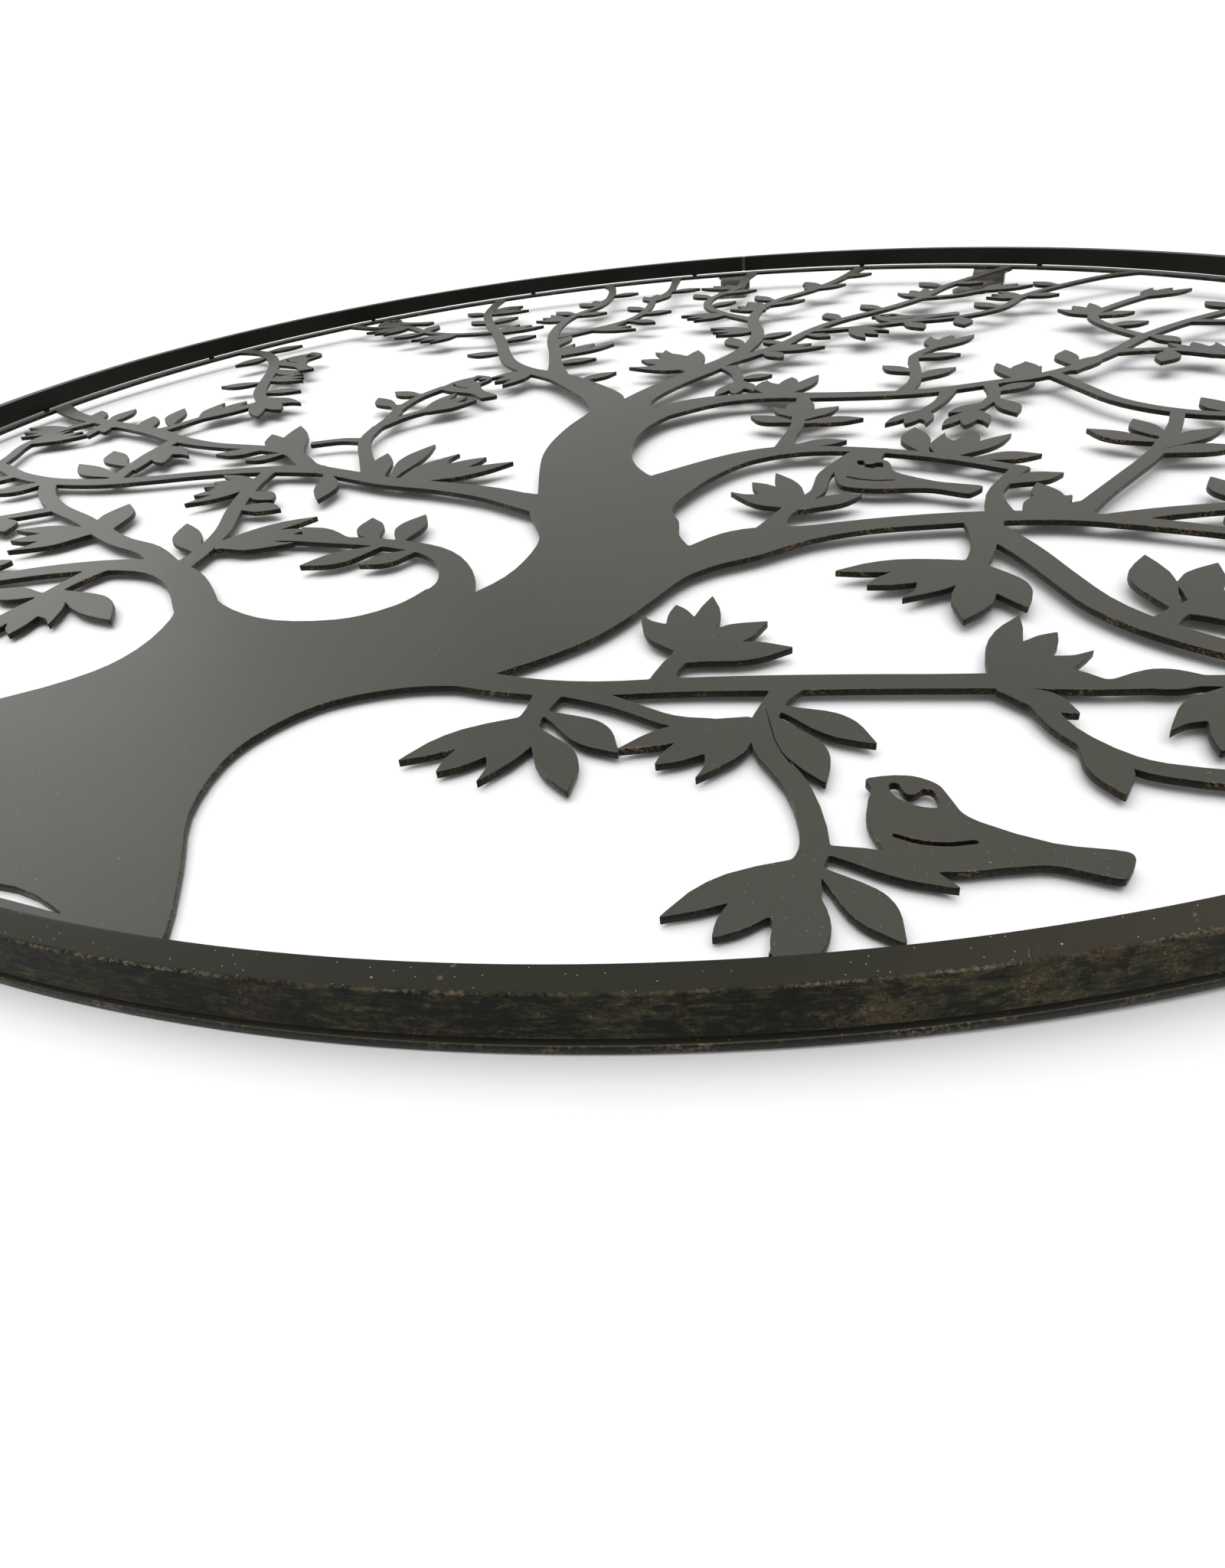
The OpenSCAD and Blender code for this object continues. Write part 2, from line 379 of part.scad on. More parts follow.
module stroke(points) {
    c = curve(points);
    last = len(c) - 1;
    polygon(concat([for (i = [0:last]) edge_point(c, i, 1)],
                   [for (i = [last:-1:0]) edge_point(c, i, -1)]));
}

// A pointed leaf: a thin stalk, its widest place past the middle, and a slight bow
module leaf(base, tip, width) {
    sections = 6;
    stalk = 0.8;
    bow = 0.05;
    fullness = 1.1;
    outward = 1.2;
    along = tip - base;
    length = norm(along);
    rib = [for (k = [0:sections]) let (t = k / sections)
        [length * t, bow * length * sin(180 * t),
         width / 2 * pow(sin(180 * pow(t, outward)), fullness) + stalk * pow(1 - t, 2)]];
    translate(base) rotate(atan2(along[1], along[0]))
        polygon(concat([for (k = [0:sections]) [rib[k][0], rib[k][1] + rib[k][2]]],
                       [for (k = [sections - 1:-1:0]) [rib[k][0], rib[k][1] - rib[k][2]]]));
}

module flower(base, direction, size, long_side) {
    slimness = 0.82;
    translate(base) rotate(direction - 90) scale([slimness * size * long_side, size])
        polygon(joined([for (edge = PETALS) curve(edge, 2)]));
}

module bird(belly, turn, size, facing)
    translate(belly) rotate(turn) scale([size * facing, size]) difference() {
        polygon(closed_curve(BIRD_BODY, 3));
        polygon(closed_curve(BIRD_EYE, 3));
        stroke([for (p = WING_CUT) [p[0], p[1], kerf_w / (2 * size * tree_scale)]]);
    }

// Closes slits that are too narrow to cut, and leaves every other outline as it is
module cuttable()
    offset(delta = -narrowest_slit / 2) offset(delta = narrowest_slit / 2) children();

module bough(strokes, leaves, flowers) cuttable() {
    for (s = strokes) stroke(s);
    for (l = leaves) leaf(l[0], l[1], l[2]);
    for (f = flowers) flower(f[0], f[1], f[2], f[3]);
}

module ring_drawing() difference() {
    circle(r = drawn_r, $fn = ring_sides);
    circle(r = drawn_r - ring_w / tree_scale, $fn = ring_sides);
}

module trunk_drawing() difference() {
    polygon(concat(curve(TRUNK_RIGHT), curve(TRUNK_FORK_RIGHT), curve(TRUNK_INNER_RIGHT),
                   curve(TRUNK_UPPER_RIGHT), [[2, -17], [-16, -5]], curve(TRUNK_UPPER_LEFT),
                   curve(TRUNK_INNER_LEFT), curve(TRUNK_FORK_LEFT), curve(TRUNK_LEFT), TRUNK_FOOT));
    for (cut = ROOT_CUTS) leaf(cut[0], cut[1], cut[2]);
}

// The drawings in the order in which they are cut: each leaves out what is drawn before it
module drawing(index) {
    if (index == 0) ring_drawing();
    if (index == 1) trunk_drawing();
    if (index == 2) bough(LOW_RIGHT, LOW_RIGHT_LEAVES, LOW_RIGHT_FLOWERS);
    if (index == 3) bough(MID_RIGHT, MID_RIGHT_LEAVES, MID_RIGHT_FLOWERS);
    if (index == 4) bough(INNER_RIGHT, INNER_RIGHT_LEAVES, INNER_RIGHT_FLOWERS);
    if (index == 5) bough(UPPER_RIGHT, UPPER_RIGHT_LEAVES, UPPER_RIGHT_FLOWERS);
    if (index == 6) bough(TOP, TOP_LEAVES, TOP_FLOWERS);
    if (index == 7) bough(UPPER_LEFT, UPPER_LEFT_LEAVES, UPPER_LEFT_FLOWERS);
    if (index == 8) bough(MID_LEFT, MID_LEFT_LEAVES, MID_LEFT_FLOWERS);
    if (index == 9) bough(CURL_LEFT, CURL_LEFT_LEAVES, CURL_LEFT_FLOWERS);
    if (index == 10) bough(LOW_LEFT, LOW_LEFT_LEAVES, LOW_LEFT_FLOWERS);
    if (index > 10) {
        b = [BIRD_LOW_RIGHT, BIRD_INNER_RIGHT, BIRD_FAR_RIGHT, BIRD_TOP_RIGHT, BIRD_TOP_LEFT,
             BIRD_FAR_LEFT, BIRD_MID_LEFT, BIRD_LOW_LEFT][index - 11];
        bird(b[0], b[1], b[2], b[3]);
    }
}

module sheet_piece(index)
    color(STEEL) translate([0, 0, sheet_z]) linear_extrude(sheet_t)
        offset(delta = 0) scale(tree_scale) difference() {
            drawing(index);
            if (index > 0) for (earlier = [0:index - 1]) drawing(earlier);
        }

module border_ring()
    color(STEEL) translate([0, 0, sheet_z]) difference() {
        cylinder(r = disc_r, h = sheet_t, $fn = ring_sides);
        translate([0, 0, -through])
            cylinder(r = disc_r - ring_w, h = sheet_t + 2 * through, $fn = ring_sides);
    }

module trunk() sheet_piece(1);
module bough_low_right() sheet_piece(2);
module bough_mid_right() sheet_piece(3);
module bough_inner_right() sheet_piece(4);
module bough_upper_right() sheet_piece(5);
module bough_top() sheet_piece(6);
module bough_upper_left() sheet_piece(7);
module bough_mid_left() sheet_piece(8);
module bough_curl_left() sheet_piece(9);
module bough_low_left() sheet_piece(10);
module bird_low_right() sheet_piece(11);
module bird_inner_right() sheet_piece(12);
module bird_far_right() sheet_piece(13);
module bird_top_right() sheet_piece(14);
module bird_top_left() sheet_piece(15);
module bird_far_left() sheet_piece(16);
module bird_mid_left() sheet_piece(17);
module bird_low_left() sheet_piece(18);

// ---- Hoop ----
// Section of the flat bar, with its four corners broken
module bar_section(inset = 0) {
    lo = disc_r - hoop_w + inset;
    hi = disc_r - inset;
    top = hoop_z + hoop_h - inset;
    base = hoop_z + inset;
    c = hoop_chamfer;
    polygon([[lo + c, base], [hi - c, base], [hi, base + c], [hi, top - c],
             [hi - c, top], [lo + c, top], [lo, top - c], [lo, base + c]]);
}

module rim_hoop()
    color(BRONZE) rotate(seam_angle + split_angle / 2)
        rotate_extrude(angle = 360 - split_angle, $fn = ring_sides) bar_section();

module hoop_seam_weld() {
    sunk = 0.2;             // the weld is ground a little below the bar
    color(BRONZE) rotate(seam_angle - split_angle / 2)
        rotate_extrude(angle = split_angle, $fn = ring_sides) bar_section(sunk);
}

module weld_tacks()
    color(BRONZE) for (i = [0:tack_count - 1]) rotate(360 / tack_count * (i + 0.5))
        translate([hoop_mid_r, 0, front_z]) cylinder(d = tack_d, h = hoop_gap, $fn = 32);

// ---- Hangers ----
// A strip bent like a Z: a foot on the border, a leg, and a slotted flange on the wall
module hanger() {
    cut_h = hanger_t + 2 * through;
    difference() {
        union() {
            translate([-hanger_w / 2, leg_in, standoff - hanger_t])
                cube([hanger_w, foot_out - leg_in, hanger_t]);
            translate([-hanger_w / 2, leg_in, 0]) cube([hanger_w, hanger_t, standoff]);
            translate([-hanger_w / 2, leg_in - flange_l, 0])
                cube([hanger_w, flange_l + hanger_t, hanger_t]);
        }
        translate([0, hole_y, -through]) cylinder(d = head_d, h = cut_h, $fn = 64);
        translate([-neck_w / 2, hole_y, -through]) cube([neck_w, neck_end - hole_y, cut_h]);
        translate([0, neck_end, -through]) cylinder(d = neck_w, h = cut_h, $fn = 64);
    }
}

module hanger_left() color(BRONZE) rotate(hanger_angle) hanger();
module hanger_right() color(BRONZE) rotate(-hanger_angle) hanger();

module hanger_welds()
    color(BRONZE) for (turn = [-1, 1], side = [-1, 1])
        rotate(turn * hanger_angle) scale([side, 1, 1])
            translate([hanger_w / 2, foot_out - rim_step, sheet_z]) rotate([90, 0, 0])
                linear_extrude(ring_w - 3 * rim_step)
                    polygon([[0, 0], [0, -bead], [bead, 0]]);

border_ring();
trunk();
bough_low_right();
bough_mid_right();
bough_inner_right();
bough_upper_right();
bough_top();
bough_upper_left();
bough_mid_left();
bough_curl_left();
bough_low_left();
bird_low_right();
bird_inner_right();
bird_far_right();
bird_top_right();
bird_top_left();
bird_far_left();
bird_mid_left();
bird_low_left();
rim_hoop();
hoop_seam_weld();
weld_tacks();
hanger_left();
hanger_right();
hanger_welds();
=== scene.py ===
"""Looks of a round openwork wall disc: a cut sheet, a rolled hoop and its fixings.

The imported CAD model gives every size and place. The cut sheet is drawn again as one
plate with softened edges, the hoop is swept from a bar section, and the small welds
are laid along paths with Geometry Nodes.
"""

import json
import logging
import math
from collections import deque
from dataclasses import dataclass, field
from enum import Enum
from typing import Any, Optional, Sequence, Union

import bpy
import numpy as np
from mathutils import Matrix, Vector
from mathutils.geometry import delaunay_2d_cdt


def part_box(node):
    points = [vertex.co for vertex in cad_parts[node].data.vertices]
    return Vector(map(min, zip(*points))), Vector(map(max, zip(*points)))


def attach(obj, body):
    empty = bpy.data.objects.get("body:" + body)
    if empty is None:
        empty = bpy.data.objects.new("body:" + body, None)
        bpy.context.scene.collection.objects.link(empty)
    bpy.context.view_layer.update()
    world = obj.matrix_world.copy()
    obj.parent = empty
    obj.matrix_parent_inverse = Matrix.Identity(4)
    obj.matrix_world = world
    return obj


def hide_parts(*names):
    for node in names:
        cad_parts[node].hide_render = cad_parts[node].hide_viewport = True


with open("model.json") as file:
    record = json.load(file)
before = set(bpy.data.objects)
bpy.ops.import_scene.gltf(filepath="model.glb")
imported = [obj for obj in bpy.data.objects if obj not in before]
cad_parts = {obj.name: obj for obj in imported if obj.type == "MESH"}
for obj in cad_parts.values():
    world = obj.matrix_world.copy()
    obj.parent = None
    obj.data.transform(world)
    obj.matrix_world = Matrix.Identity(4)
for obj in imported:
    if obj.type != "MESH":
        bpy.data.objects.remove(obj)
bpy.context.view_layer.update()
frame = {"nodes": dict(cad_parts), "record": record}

LOG = logging.getLogger("tree_disc")
MM = 0.001
ROOT = "root"
QUARTER = math.pi / 2.0
NO_LENGTH = 1e-12           # below this a step has no direction
NO_SHARE = 1e-9             # keeps a division from running away
STRAIGHT = 1e-6             # radians; a smaller turn is no turn
LEVEL_WITHIN = 1e-6         # metres; points this close in height lie on one face
PLACE_DIGITS = 7            # decimals of a metre that tell two CAD points apart

Colour = tuple[float, float, float]
Loop = np.ndarray


class Slot(Enum):
    """The record's material slots."""

    SHEET = "sheet_finish"
    HOOP = "hoop_finish"
    WELD = "weld_finish"
    HANGER = "hanger_finish"


# ---------------------------------------------------------------- node graphs


class Channel:
    """A number that comes out of a shader node; arithmetic on it adds Math nodes."""

    def __init__(self, graph: "Graph", socket: bpy.types.NodeSocket) -> None:
        """Wraps one output socket.

        Args:
            graph: the graph that the socket's node belongs to.
            socket: the output to wrap.
        """
        self.graph = graph
        self.socket = socket

    def _math(self, operation: str, *values: "Number") -> "Channel":
        """Adds one Math node on the given values and returns its result."""
        node = self.graph.add("ShaderNodeMath", {"operation": operation}, dict(enumerate(values)))
        return Channel(self.graph, node.outputs[0])

    def __add__(self, other: "Number") -> "Channel":
        """Adds."""
        return self._math("ADD", self, other)

    def __radd__(self, other: "Number") -> "Channel":
        """Adds, with the number on the left."""
        return self._math("ADD", other, self)

    def __sub__(self, other: "Number") -> "Channel":
        """Subtracts."""
        return self._math("SUBTRACT", self, other)

    def __rsub__(self, other: "Number") -> "Channel":
        """Subtracts this from a number."""
        return self._math("SUBTRACT", other, self)

    def __mul__(self, other: "Number") -> "Channel":
        """Multiplies."""
        return self._math("MULTIPLY", self, other)

    def __rmul__(self, other: "Number") -> "Channel":
        """Multiplies, with the number on the left."""
        return self._math("MULTIPLY", other, self)

    def clamped(self) -> "Channel":
        """Limits to 0..1."""
        node = self.graph.add("ShaderNodeClamp", {}, {"Value": self})
        return Channel(self.graph, node.outputs[0])

    def root(self) -> "Channel":
        """Takes the square root."""
        return self._math("SQRT", self)

    def size(self) -> "Channel":
        """Takes the absolute value."""
        return self._math("ABSOLUTE", self)

    def step(self, low: float, high: float) -> "Channel":
        """Rises smoothly from 0 at low to 1 at high; falls when high is below low.

        Args:
            low: value that gives 0.
            high: value that gives 1.

        Returns:
            The smoothed mask.
        """
        first, last = (0.0, 1.0) if high > low else (1.0, 0.0)
        node = self.graph.add(
            "ShaderNodeMapRange",
            {"interpolation_type": "SMOOTHSTEP"},
            {"Value": self, "From Min": min(low, high), "From Max": max(low, high),
             "To Min": first, "To Max": last},
        )
        return Channel(self.graph, node.outputs[0])


Number = Union[Channel, float]


class Graph:
    """A node tree that is filled one node at a time."""

    def __init__(self, tree: bpy.types.NodeTree) -> None:
        """Takes over an empty tree.

        Args:
            tree: a shader or geometry node tree.
        """
        self.tree = tree

    def add(self, kind: str, settings: Optional[dict[str, Any]] = None,
            sockets: Optional[dict[Union[str, int], Any]] = None) -> bpy.types.Node:
        """Adds a node.

        Args:
            kind: the node's type.
            settings: properties, such as a Math node's operation, set first.
            sockets: value or link of each input, by name or by number.

        Returns:
            The new node.
        """
        node = self.tree.nodes.new(kind)
        for name, value in (settings or {}).items():
            setattr(node, name, value)
        for key, value in (sockets or {}).items():
            self.plug(node.inputs[key], value)
        return node

    def plug(self, target: bpy.types.NodeSocket, value: Any) -> None:
        """Links an output to an input, or sets the input's own value.

        Args:
            target: the input.
            value: a channel or an output to link, or a plain value to set.
        """
        if isinstance(value, Channel):
            value = value.socket
        if isinstance(value, bpy.types.NodeSocket):
            self.tree.links.new(value, target)
        else:
            target.default_value = value


class Shader(Graph):
    """A material's graph, with the patterns that the finishes of the disc share."""

    speck_core = 0.4            # share of a speck's radius where it is solid
    line_spacing = 12.0         # distance between scratches, in scratch widths
    line_edge = (0.012, 0.002)  # how a scratch fades out and where it is solid

    def __init__(self, name: str) -> None:
        """Starts an empty material.

        Args:
            name: the material's name.
        """
        self.material = bpy.data.materials.new(name)
        self.material.use_nodes = True
        self.material.node_tree.nodes.clear()
        super().__init__(self.material.node_tree)
        self.place = self.add("ShaderNodeTexCoord").outputs["Object"]

    def axes(self) -> tuple[Channel, Channel, Channel]:
        """Splits the object coordinates into x, y and z."""
        node = self.add("ShaderNodeSeparateXYZ", {}, {0: self.place})
        return tuple(Channel(self, out) for out in node.outputs)

    def join(self, x: Number, y: Number, z: Number) -> bpy.types.NodeSocket:
        """Joins three numbers into a vector."""
        return self.add("ShaderNodeCombineXYZ", {}, {0: x, 1: y, 2: z}).outputs[0]

    def noise(self, grain: float, detail: float = 3.0, rough: float = 0.5, swirl: float = 0.0,
              where: Optional[bpy.types.NodeSocket] = None) -> Channel:
        """Makes a cloud pattern between about 0.25 and 0.75.

        Args:
            grain: size of one cloud, in metres.
            detail: number of finer layers.
            rough: strength of the finer layers.
            swirl: how much the pattern is twisted.
            where: coordinates, or the object's own.

        Returns:
            The pattern.
        """
        node = self.add(
            "ShaderNodeTexNoise", {},
            {"Vector": where or self.place, "Scale": 1.0 / grain, "Detail": detail,
             "Roughness": rough, "Distortion": swirl},
        )
        return Channel(self, node.outputs[0])

    def specks(self, spacing: float, radius: float, share: float) -> Channel:
        """Scatters small round specks over level faces.

        Args:
            spacing: distance between places where a speck can lie, in metres.
            radius: a speck's radius, in metres.
            share: share of those places that hold a speck.

        Returns:
            A mask of the specks.
        """
        x, y, _ = self.axes()
        cells = self.add("ShaderNodeTexVoronoi", {"voronoi_dimensions": "2D"},
                         {"Vector": self.join(x, y, 0.0), "Scale": 1.0 / spacing})
        lot = self.add("ShaderNodeSeparateColor", {}, {0: cells.outputs["Color"]})
        chosen = Channel(self, lot.outputs[0]).step(1.0 - share, 1.0 - share * 0.8)
        reach = radius / spacing
        near = Channel(self, cells.outputs["Distance"]).step(reach, self.speck_core * reach)
        return chosen * near

    def scratches(self, length: float, thin: float, turn: float, share: float) -> Channel:
        """Draws sparse fine scratches that all run roughly one way.

        Args:
            length: length of a scratch, in metres.
            thin: width of a scratch, in metres.
            turn: direction of the scratches, in degrees.
            share: share of the surface that holds scratches, 0 to 1.

        Returns:
            A mask of the scratches.
        """
        turned = self.add("ShaderNodeVectorRotate", {"rotation_type": "Z_AXIS"},
                          {"Vector": self.place, "Angle": math.radians(turn)})
        bent = self.add("ShaderNodeVectorMath", {"operation": "MULTIPLY"},
                        {0: turned.outputs[0],
                         1: (1.0 / length, 1.0 / (self.line_spacing * thin), 1.0 / length)})
        line = self.noise(1.0, 1.0, 0.5, 0.15, bent.outputs[0])
        patch = self.noise(length * 1.7, 1.0).step(0.72 - 0.35 * share, 0.78 - 0.35 * share)
        return (line - 0.5).size().step(*self.line_edge) * patch

    def attribute(self, name: str) -> Channel:
        """Reads a number that the mesh carries."""
        node = self.add("ShaderNodeAttribute", {"attribute_name": name})
        return Channel(self, node.outputs["Fac"])

    def mixed(self, share: Number, first: Any, second: Any) -> bpy.types.NodeSocket:
        """Mixes two colours.

        Args:
            share: 0 for the first colour, 1 for the second.
            first: a colour, or a link to one.
            second: a colour, or a link to one.

        Returns:
            The mixed colour.
        """
        node = self.add("ShaderNodeMix", {"data_type": "RGBA"})
        self.plug(node.inputs[0], share)
        for target, value in ((node.inputs[6], first), (node.inputs[7], second)):
            self.plug(target, (*value, 1.0) if isinstance(value, tuple) else value)
        return node.outputs[2]

    def raised(self, height: Channel, depth: float, below: Any = None) -> bpy.types.NodeSocket:
        """Turns a height pattern into a normal.

        Args:
            height: the pattern.
            depth: height of a full step of the pattern, in metres.
            below: a normal to build on.

        Returns:
            The normal.
        """
        sockets = {"Height": height, "Distance": depth, "Strength": 1.0}
        if below is not None:
            sockets["Normal"] = below
        return self.add("ShaderNodeBump", {}, sockets).outputs[0]

    def finish(self, fixed: dict[str, Any], varying: dict[str, Any]) -> bpy.types.Material:
        """Ends the graph with its shader.

        Args:
            fixed: values that are the same all over.
            varying: links that change over the surface.

        Returns:
            The finished material.
        """
        shader = self.add("ShaderNodeBsdfPrincipled", {}, {**fixed, **varying})
        self.add("ShaderNodeOutputMaterial", {}, {"Surface": shader.outputs[0]})
        return self.material


# ------------------------------------------------------------------ finishes


@dataclass(frozen=True)
class SheetCoat:
    """Satin dark coat of the cut sheet, rubbed to bronze along its cut edges."""

    green_black: Colour = (0.026, 0.0265, 0.0165)
    brown_black: Colour = (0.034, 0.031, 0.0195)
    cut_black: Colour = (0.006, 0.0055, 0.004)
    rubbed_gold: Colour = (0.34, 0.25, 0.13)
    dust: Colour = (0.46, 0.44, 0.37)
    gloss: float = 0.44
    shine: float = 0.46
    sheen: float = 0.10
    sheen_spread: float = 0.45
    cloud_size: float = 55 * MM
    grain_size: float = 0.8 * MM
    patch_size: float = 11 * MM
    fleck_size: float = 0.6 * MM
    nick_size: float = 1.1 * MM
    peel_size: float = 0.9 * MM
    peel: float = 0.008 * MM
    flute_size: float = 0.35 * MM
    flute_stretch: float = 0.06   # squeeze that makes the flutes stand upright
    flute: float = 0.05 * MM

    def material(self) -> bpy.types.Material:
        """Builds the coat.

        Returns:
            The finished material.
        """
        s = Shader("sheet_coat")
        cloud = s.noise(self.cloud_size, 3.0)
        grain = s.noise(self.grain_size, 4.0, 0.65)
        tone = (cloud * 0.6 + grain * 0.5).step(0.40, 0.72)
        base = s.mixed(tone, self.green_black, self.brown_black)
        cut = s.attribute("cut")
        base = s.mixed(cut * 0.95, base, self.cut_black)
        patchy = s.noise(self.patch_size, 4.0, 0.6).step(0.50, 0.64)
        flecks = s.noise(self.fleck_size, 3.0, 0.7).step(0.47, 0.62)
        rub = s.attribute("rub") * (patchy * 0.80 + 0.14) * flecks
        nicks = cut * s.noise(self.nick_size, 3.0, 0.75).step(0.64, 0.72) * patchy
        worn = (rub + nicks * 0.2).clamped()
        base = s.mixed(worn * 0.62, base, self.rubbed_gold)
        specks = s.specks(1.7 * MM, 0.10 * MM, 0.20) + s.specks(9.0 * MM, 0.18 * MM, 0.20)
        dust = (specks * (1.0 - cut)).clamped()
        hairline = s.scratches(9 * MM, 0.05 * MM, 24.0, 0.0) * (1.0 - cut)
        base = s.mixed(dust * 0.55, base, self.dust)
        base = s.mixed(hairline * 0.12, base, self.dust)
        rough = (self.gloss + (grain - 0.5) * 0.12 + (cloud - 0.5) * 0.16 + cut * 0.16
                 + dust * 0.4 - worn * 0.1).clamped()
        x, y, z = s.axes()
        upright = s.join(x, y, z * self.flute_stretch)
        fluted = s.noise(self.flute_size, 2.0, 0.6, 0.0, upright) * cut
        normal = s.raised(s.noise(self.peel_size, 2.0, 0.5), self.peel)
        normal = s.raised(fluted + dust * 0.5, self.flute, normal)
        return s.finish(
            {"Specular IOR Level": self.shine, "Sheen Weight": self.sheen,
             "Sheen Roughness": self.sheen_spread},
            {"Base Color": base, "Roughness": rough, "Normal": normal,
             "Metallic": (cut * 0.8 + worn * 0.3).clamped()},
        )


@dataclass(frozen=True)
class HoopPatina:
    """Brushed bronze-black patina of the hoop, clouded with olive, gold and copper outside, with
    painted light on its top face towards +x.
    """

    brown_black: Colour = (0.021, 0.0205, 0.0145)
    green_black: Colour = (0.0045, 0.0055, 0.0035)
    olive: Colour = (0.042, 0.038, 0.019)
    old_gold: Colour = (0.150, 0.128, 0.068)
    copper: Colour = (0.150, 0.085, 0.045)
    worn_tan: Colour = (0.21, 0.175, 0.125)
    # painted light: the colour that lightens the hoop's top face towards +x
    painted_light_brown: Colour = (0.080, 0.066, 0.050)
    dust: Colour = (0.46, 0.44, 0.37)
    shine: float = 0.08
    drawn: float = 0.24           # squeeze that stretches the brush marks along the bar
    brush_size: float = 0.4 * MM
    streak_size: float = 1.1 * MM
    cloud_size: float = 24 * MM
    swirl_size: float = 5.5 * MM
    grit_size: float = 0.55 * MM
    curl_size: float = 2.6 * MM
    bloom_size: float = 13 * MM
    ragged_size: float = 0.8 * MM
    patch_size: float = 19 * MM
    ripple_size: float = 1.6 * MM
    brush_depth: float = 0.010 * MM
    ripple_depth: float = 0.025 * MM
    wear_reach: float = 0.45 * MM
    wear_ragged: float = 1.7 * MM

    def material(self, outer: float, inner: float, top: float) -> bpy.types.Material:
        """Builds the patina.

        Args:
            outer: outer radius of the hoop.
            inner: inner radius of the hoop.
            top: height of the hoop's front edge.

        Returns:
            The finished material.
        """
        s = Shader("hoop_patina")
        x, y, z = s.axes()
        radius = (x * x + y * y).root()
        outside = radius.step(outer - 0.7 * MM, outer - 0.1 * MM)
        inside = radius.step(inner + 0.5 * MM, inner + 0.1 * MM)
        along = s.join(x * self.drawn, y * self.drawn, z + radius)
        brushed = s.noise(self.brush_size, 4.0, 0.65, 0.0, along)
        streaks = s.noise(self.streak_size, 6.0, 0.74, 0.9, along)
        cloud = s.noise(self.cloud_size, 3.0, 0.55)
        swirl = s.noise(self.swirl_size, 6.0, 0.7, 1.8)
        grit = s.noise(self.grit_size, 4.0, 0.75, 0.8)
        richer = x.step(-0.05, 0.24)
        paler = x.step(0.04, -0.16)
        base = s.mixed(outside, self.brown_black, self.green_black)
        base = s.mixed(inside * 0.85, base, self.green_black)
        level = (1.0 - outside) * (1.0 - inside)
        mottle = streaks * 0.46 + swirl * 0.30 + cloud * 0.30 + richer * 0.02 + paler * 0.035
        # painted light: lightens the top face towards +x, standing for the brighter light on that
        # part of the hoop
        base = s.mixed(level * x.step(0.12, 0.24) * 0.6, base, self.painted_light_brown)
        olive = mottle.step(0.495, 0.62) * outside
        gilt = grit.step(0.52, 0.64) * mottle.step(0.52, 0.63) * outside
        base = s.mixed(olive * 0.75, base, self.olive)
        base = s.mixed(gilt * 0.55, base, self.old_gold)
        curls = (s.noise(self.curl_size, 3.0, 0.6, 2.2) - 0.5).size().step(0.030, 0.004)
        blooms = s.noise(self.bloom_size, 4.0, 0.6).step(0.50, 0.62) * richer * outside
        coppery = ((curls * 0.55 + grit.step(0.50, 0.64) * 0.5) * blooms).clamped()
        base = s.mixed(coppery * 0.8, base, self.copper)
        drop = z - top
        reach = radius - outer
        corner = (drop * drop + reach * reach).root()
        ragged = s.noise(self.ragged_size, 5.0, 0.78)
        patchy = s.noise(self.patch_size, 3.0, 0.6).step(0.42, 0.60)
        wear = (corner + (0.5 - ragged) * self.wear_ragged).step(self.wear_reach, 0.0)
        chips = s.specks(7.0 * MM, 0.5 * MM, 0.12) * level
        worn = (wear * (patchy * 0.70 + 0.22) + chips * ragged.step(0.45, 0.6)).clamped()
        base = s.mixed(worn * 0.7, base, self.worn_tan)
        dust = (s.specks(1.5 * MM, 0.11 * MM, 0.22) + s.specks(9.0 * MM, 0.20 * MM, 0.20)) * level
        hairs = s.scratches(7 * MM, 0.06 * MM, 61.0, 0.0) * level
        base = s.mixed(dust.clamped() * 0.6, base, self.dust)
        base = s.mixed(hairs * 0.35, base, self.dust)
        rough = (0.40 + outside * 0.16 + (brushed - 0.5) * 0.28 + olive * 0.10 + worn * 0.12
                 + dust * 0.3).clamped()
        normal = s.raised(brushed, self.brush_depth)
        ripple = s.noise(self.ripple_size, 3.0, 0.6) + swirl * outside * 0.6
        normal = s.raised(ripple, self.ripple_depth, normal)
        metal = (gilt * 0.25 + coppery * 0.3 + worn * 0.35).clamped()
        return s.finish(
            {"Specular IOR Level": self.shine},
            {"Base Color": base, "Roughness": rough, "Metallic": metal, "Normal": normal},
        )


@dataclass(frozen=True)
class WeldScale:
    """Rough scale of the small welds under the dark patina."""

    scale_black: Colour = (0.022, 0.019, 0.016)
    heat_brown: Colour = (0.085, 0.055, 0.032)
    shine: float = 0.4
    grit_size: float = 0.35 * MM
    blotch_size: float = 2.5 * MM
    relief: float = 0.09 * MM

    def material(self) -> bpy.types.Material:
        """Builds the scale.

        Returns:
            The finished material.
        """
        s = Shader("weld_scale")
        grit = s.noise(self.grit_size, 5.0, 0.7)
        blotch = s.noise(self.blotch_size, 3.0, 0.6)
        heat = (blotch * 0.6 + grit * 0.4).step(0.48, 0.66)
        base = s.mixed(heat, self.scale_black, self.heat_brown)
        rough = (0.52 + (grit - 0.5) * 0.5).clamped()
        normal = s.raised(grit + blotch * 0.5, self.relief)
        return s.finish(
            {"Specular IOR Level": self.shine},
            {"Base Color": base, "Roughness": rough, "Metallic": blotch.step(0.5, 0.7) * 0.5,
             "Normal": normal},
        )


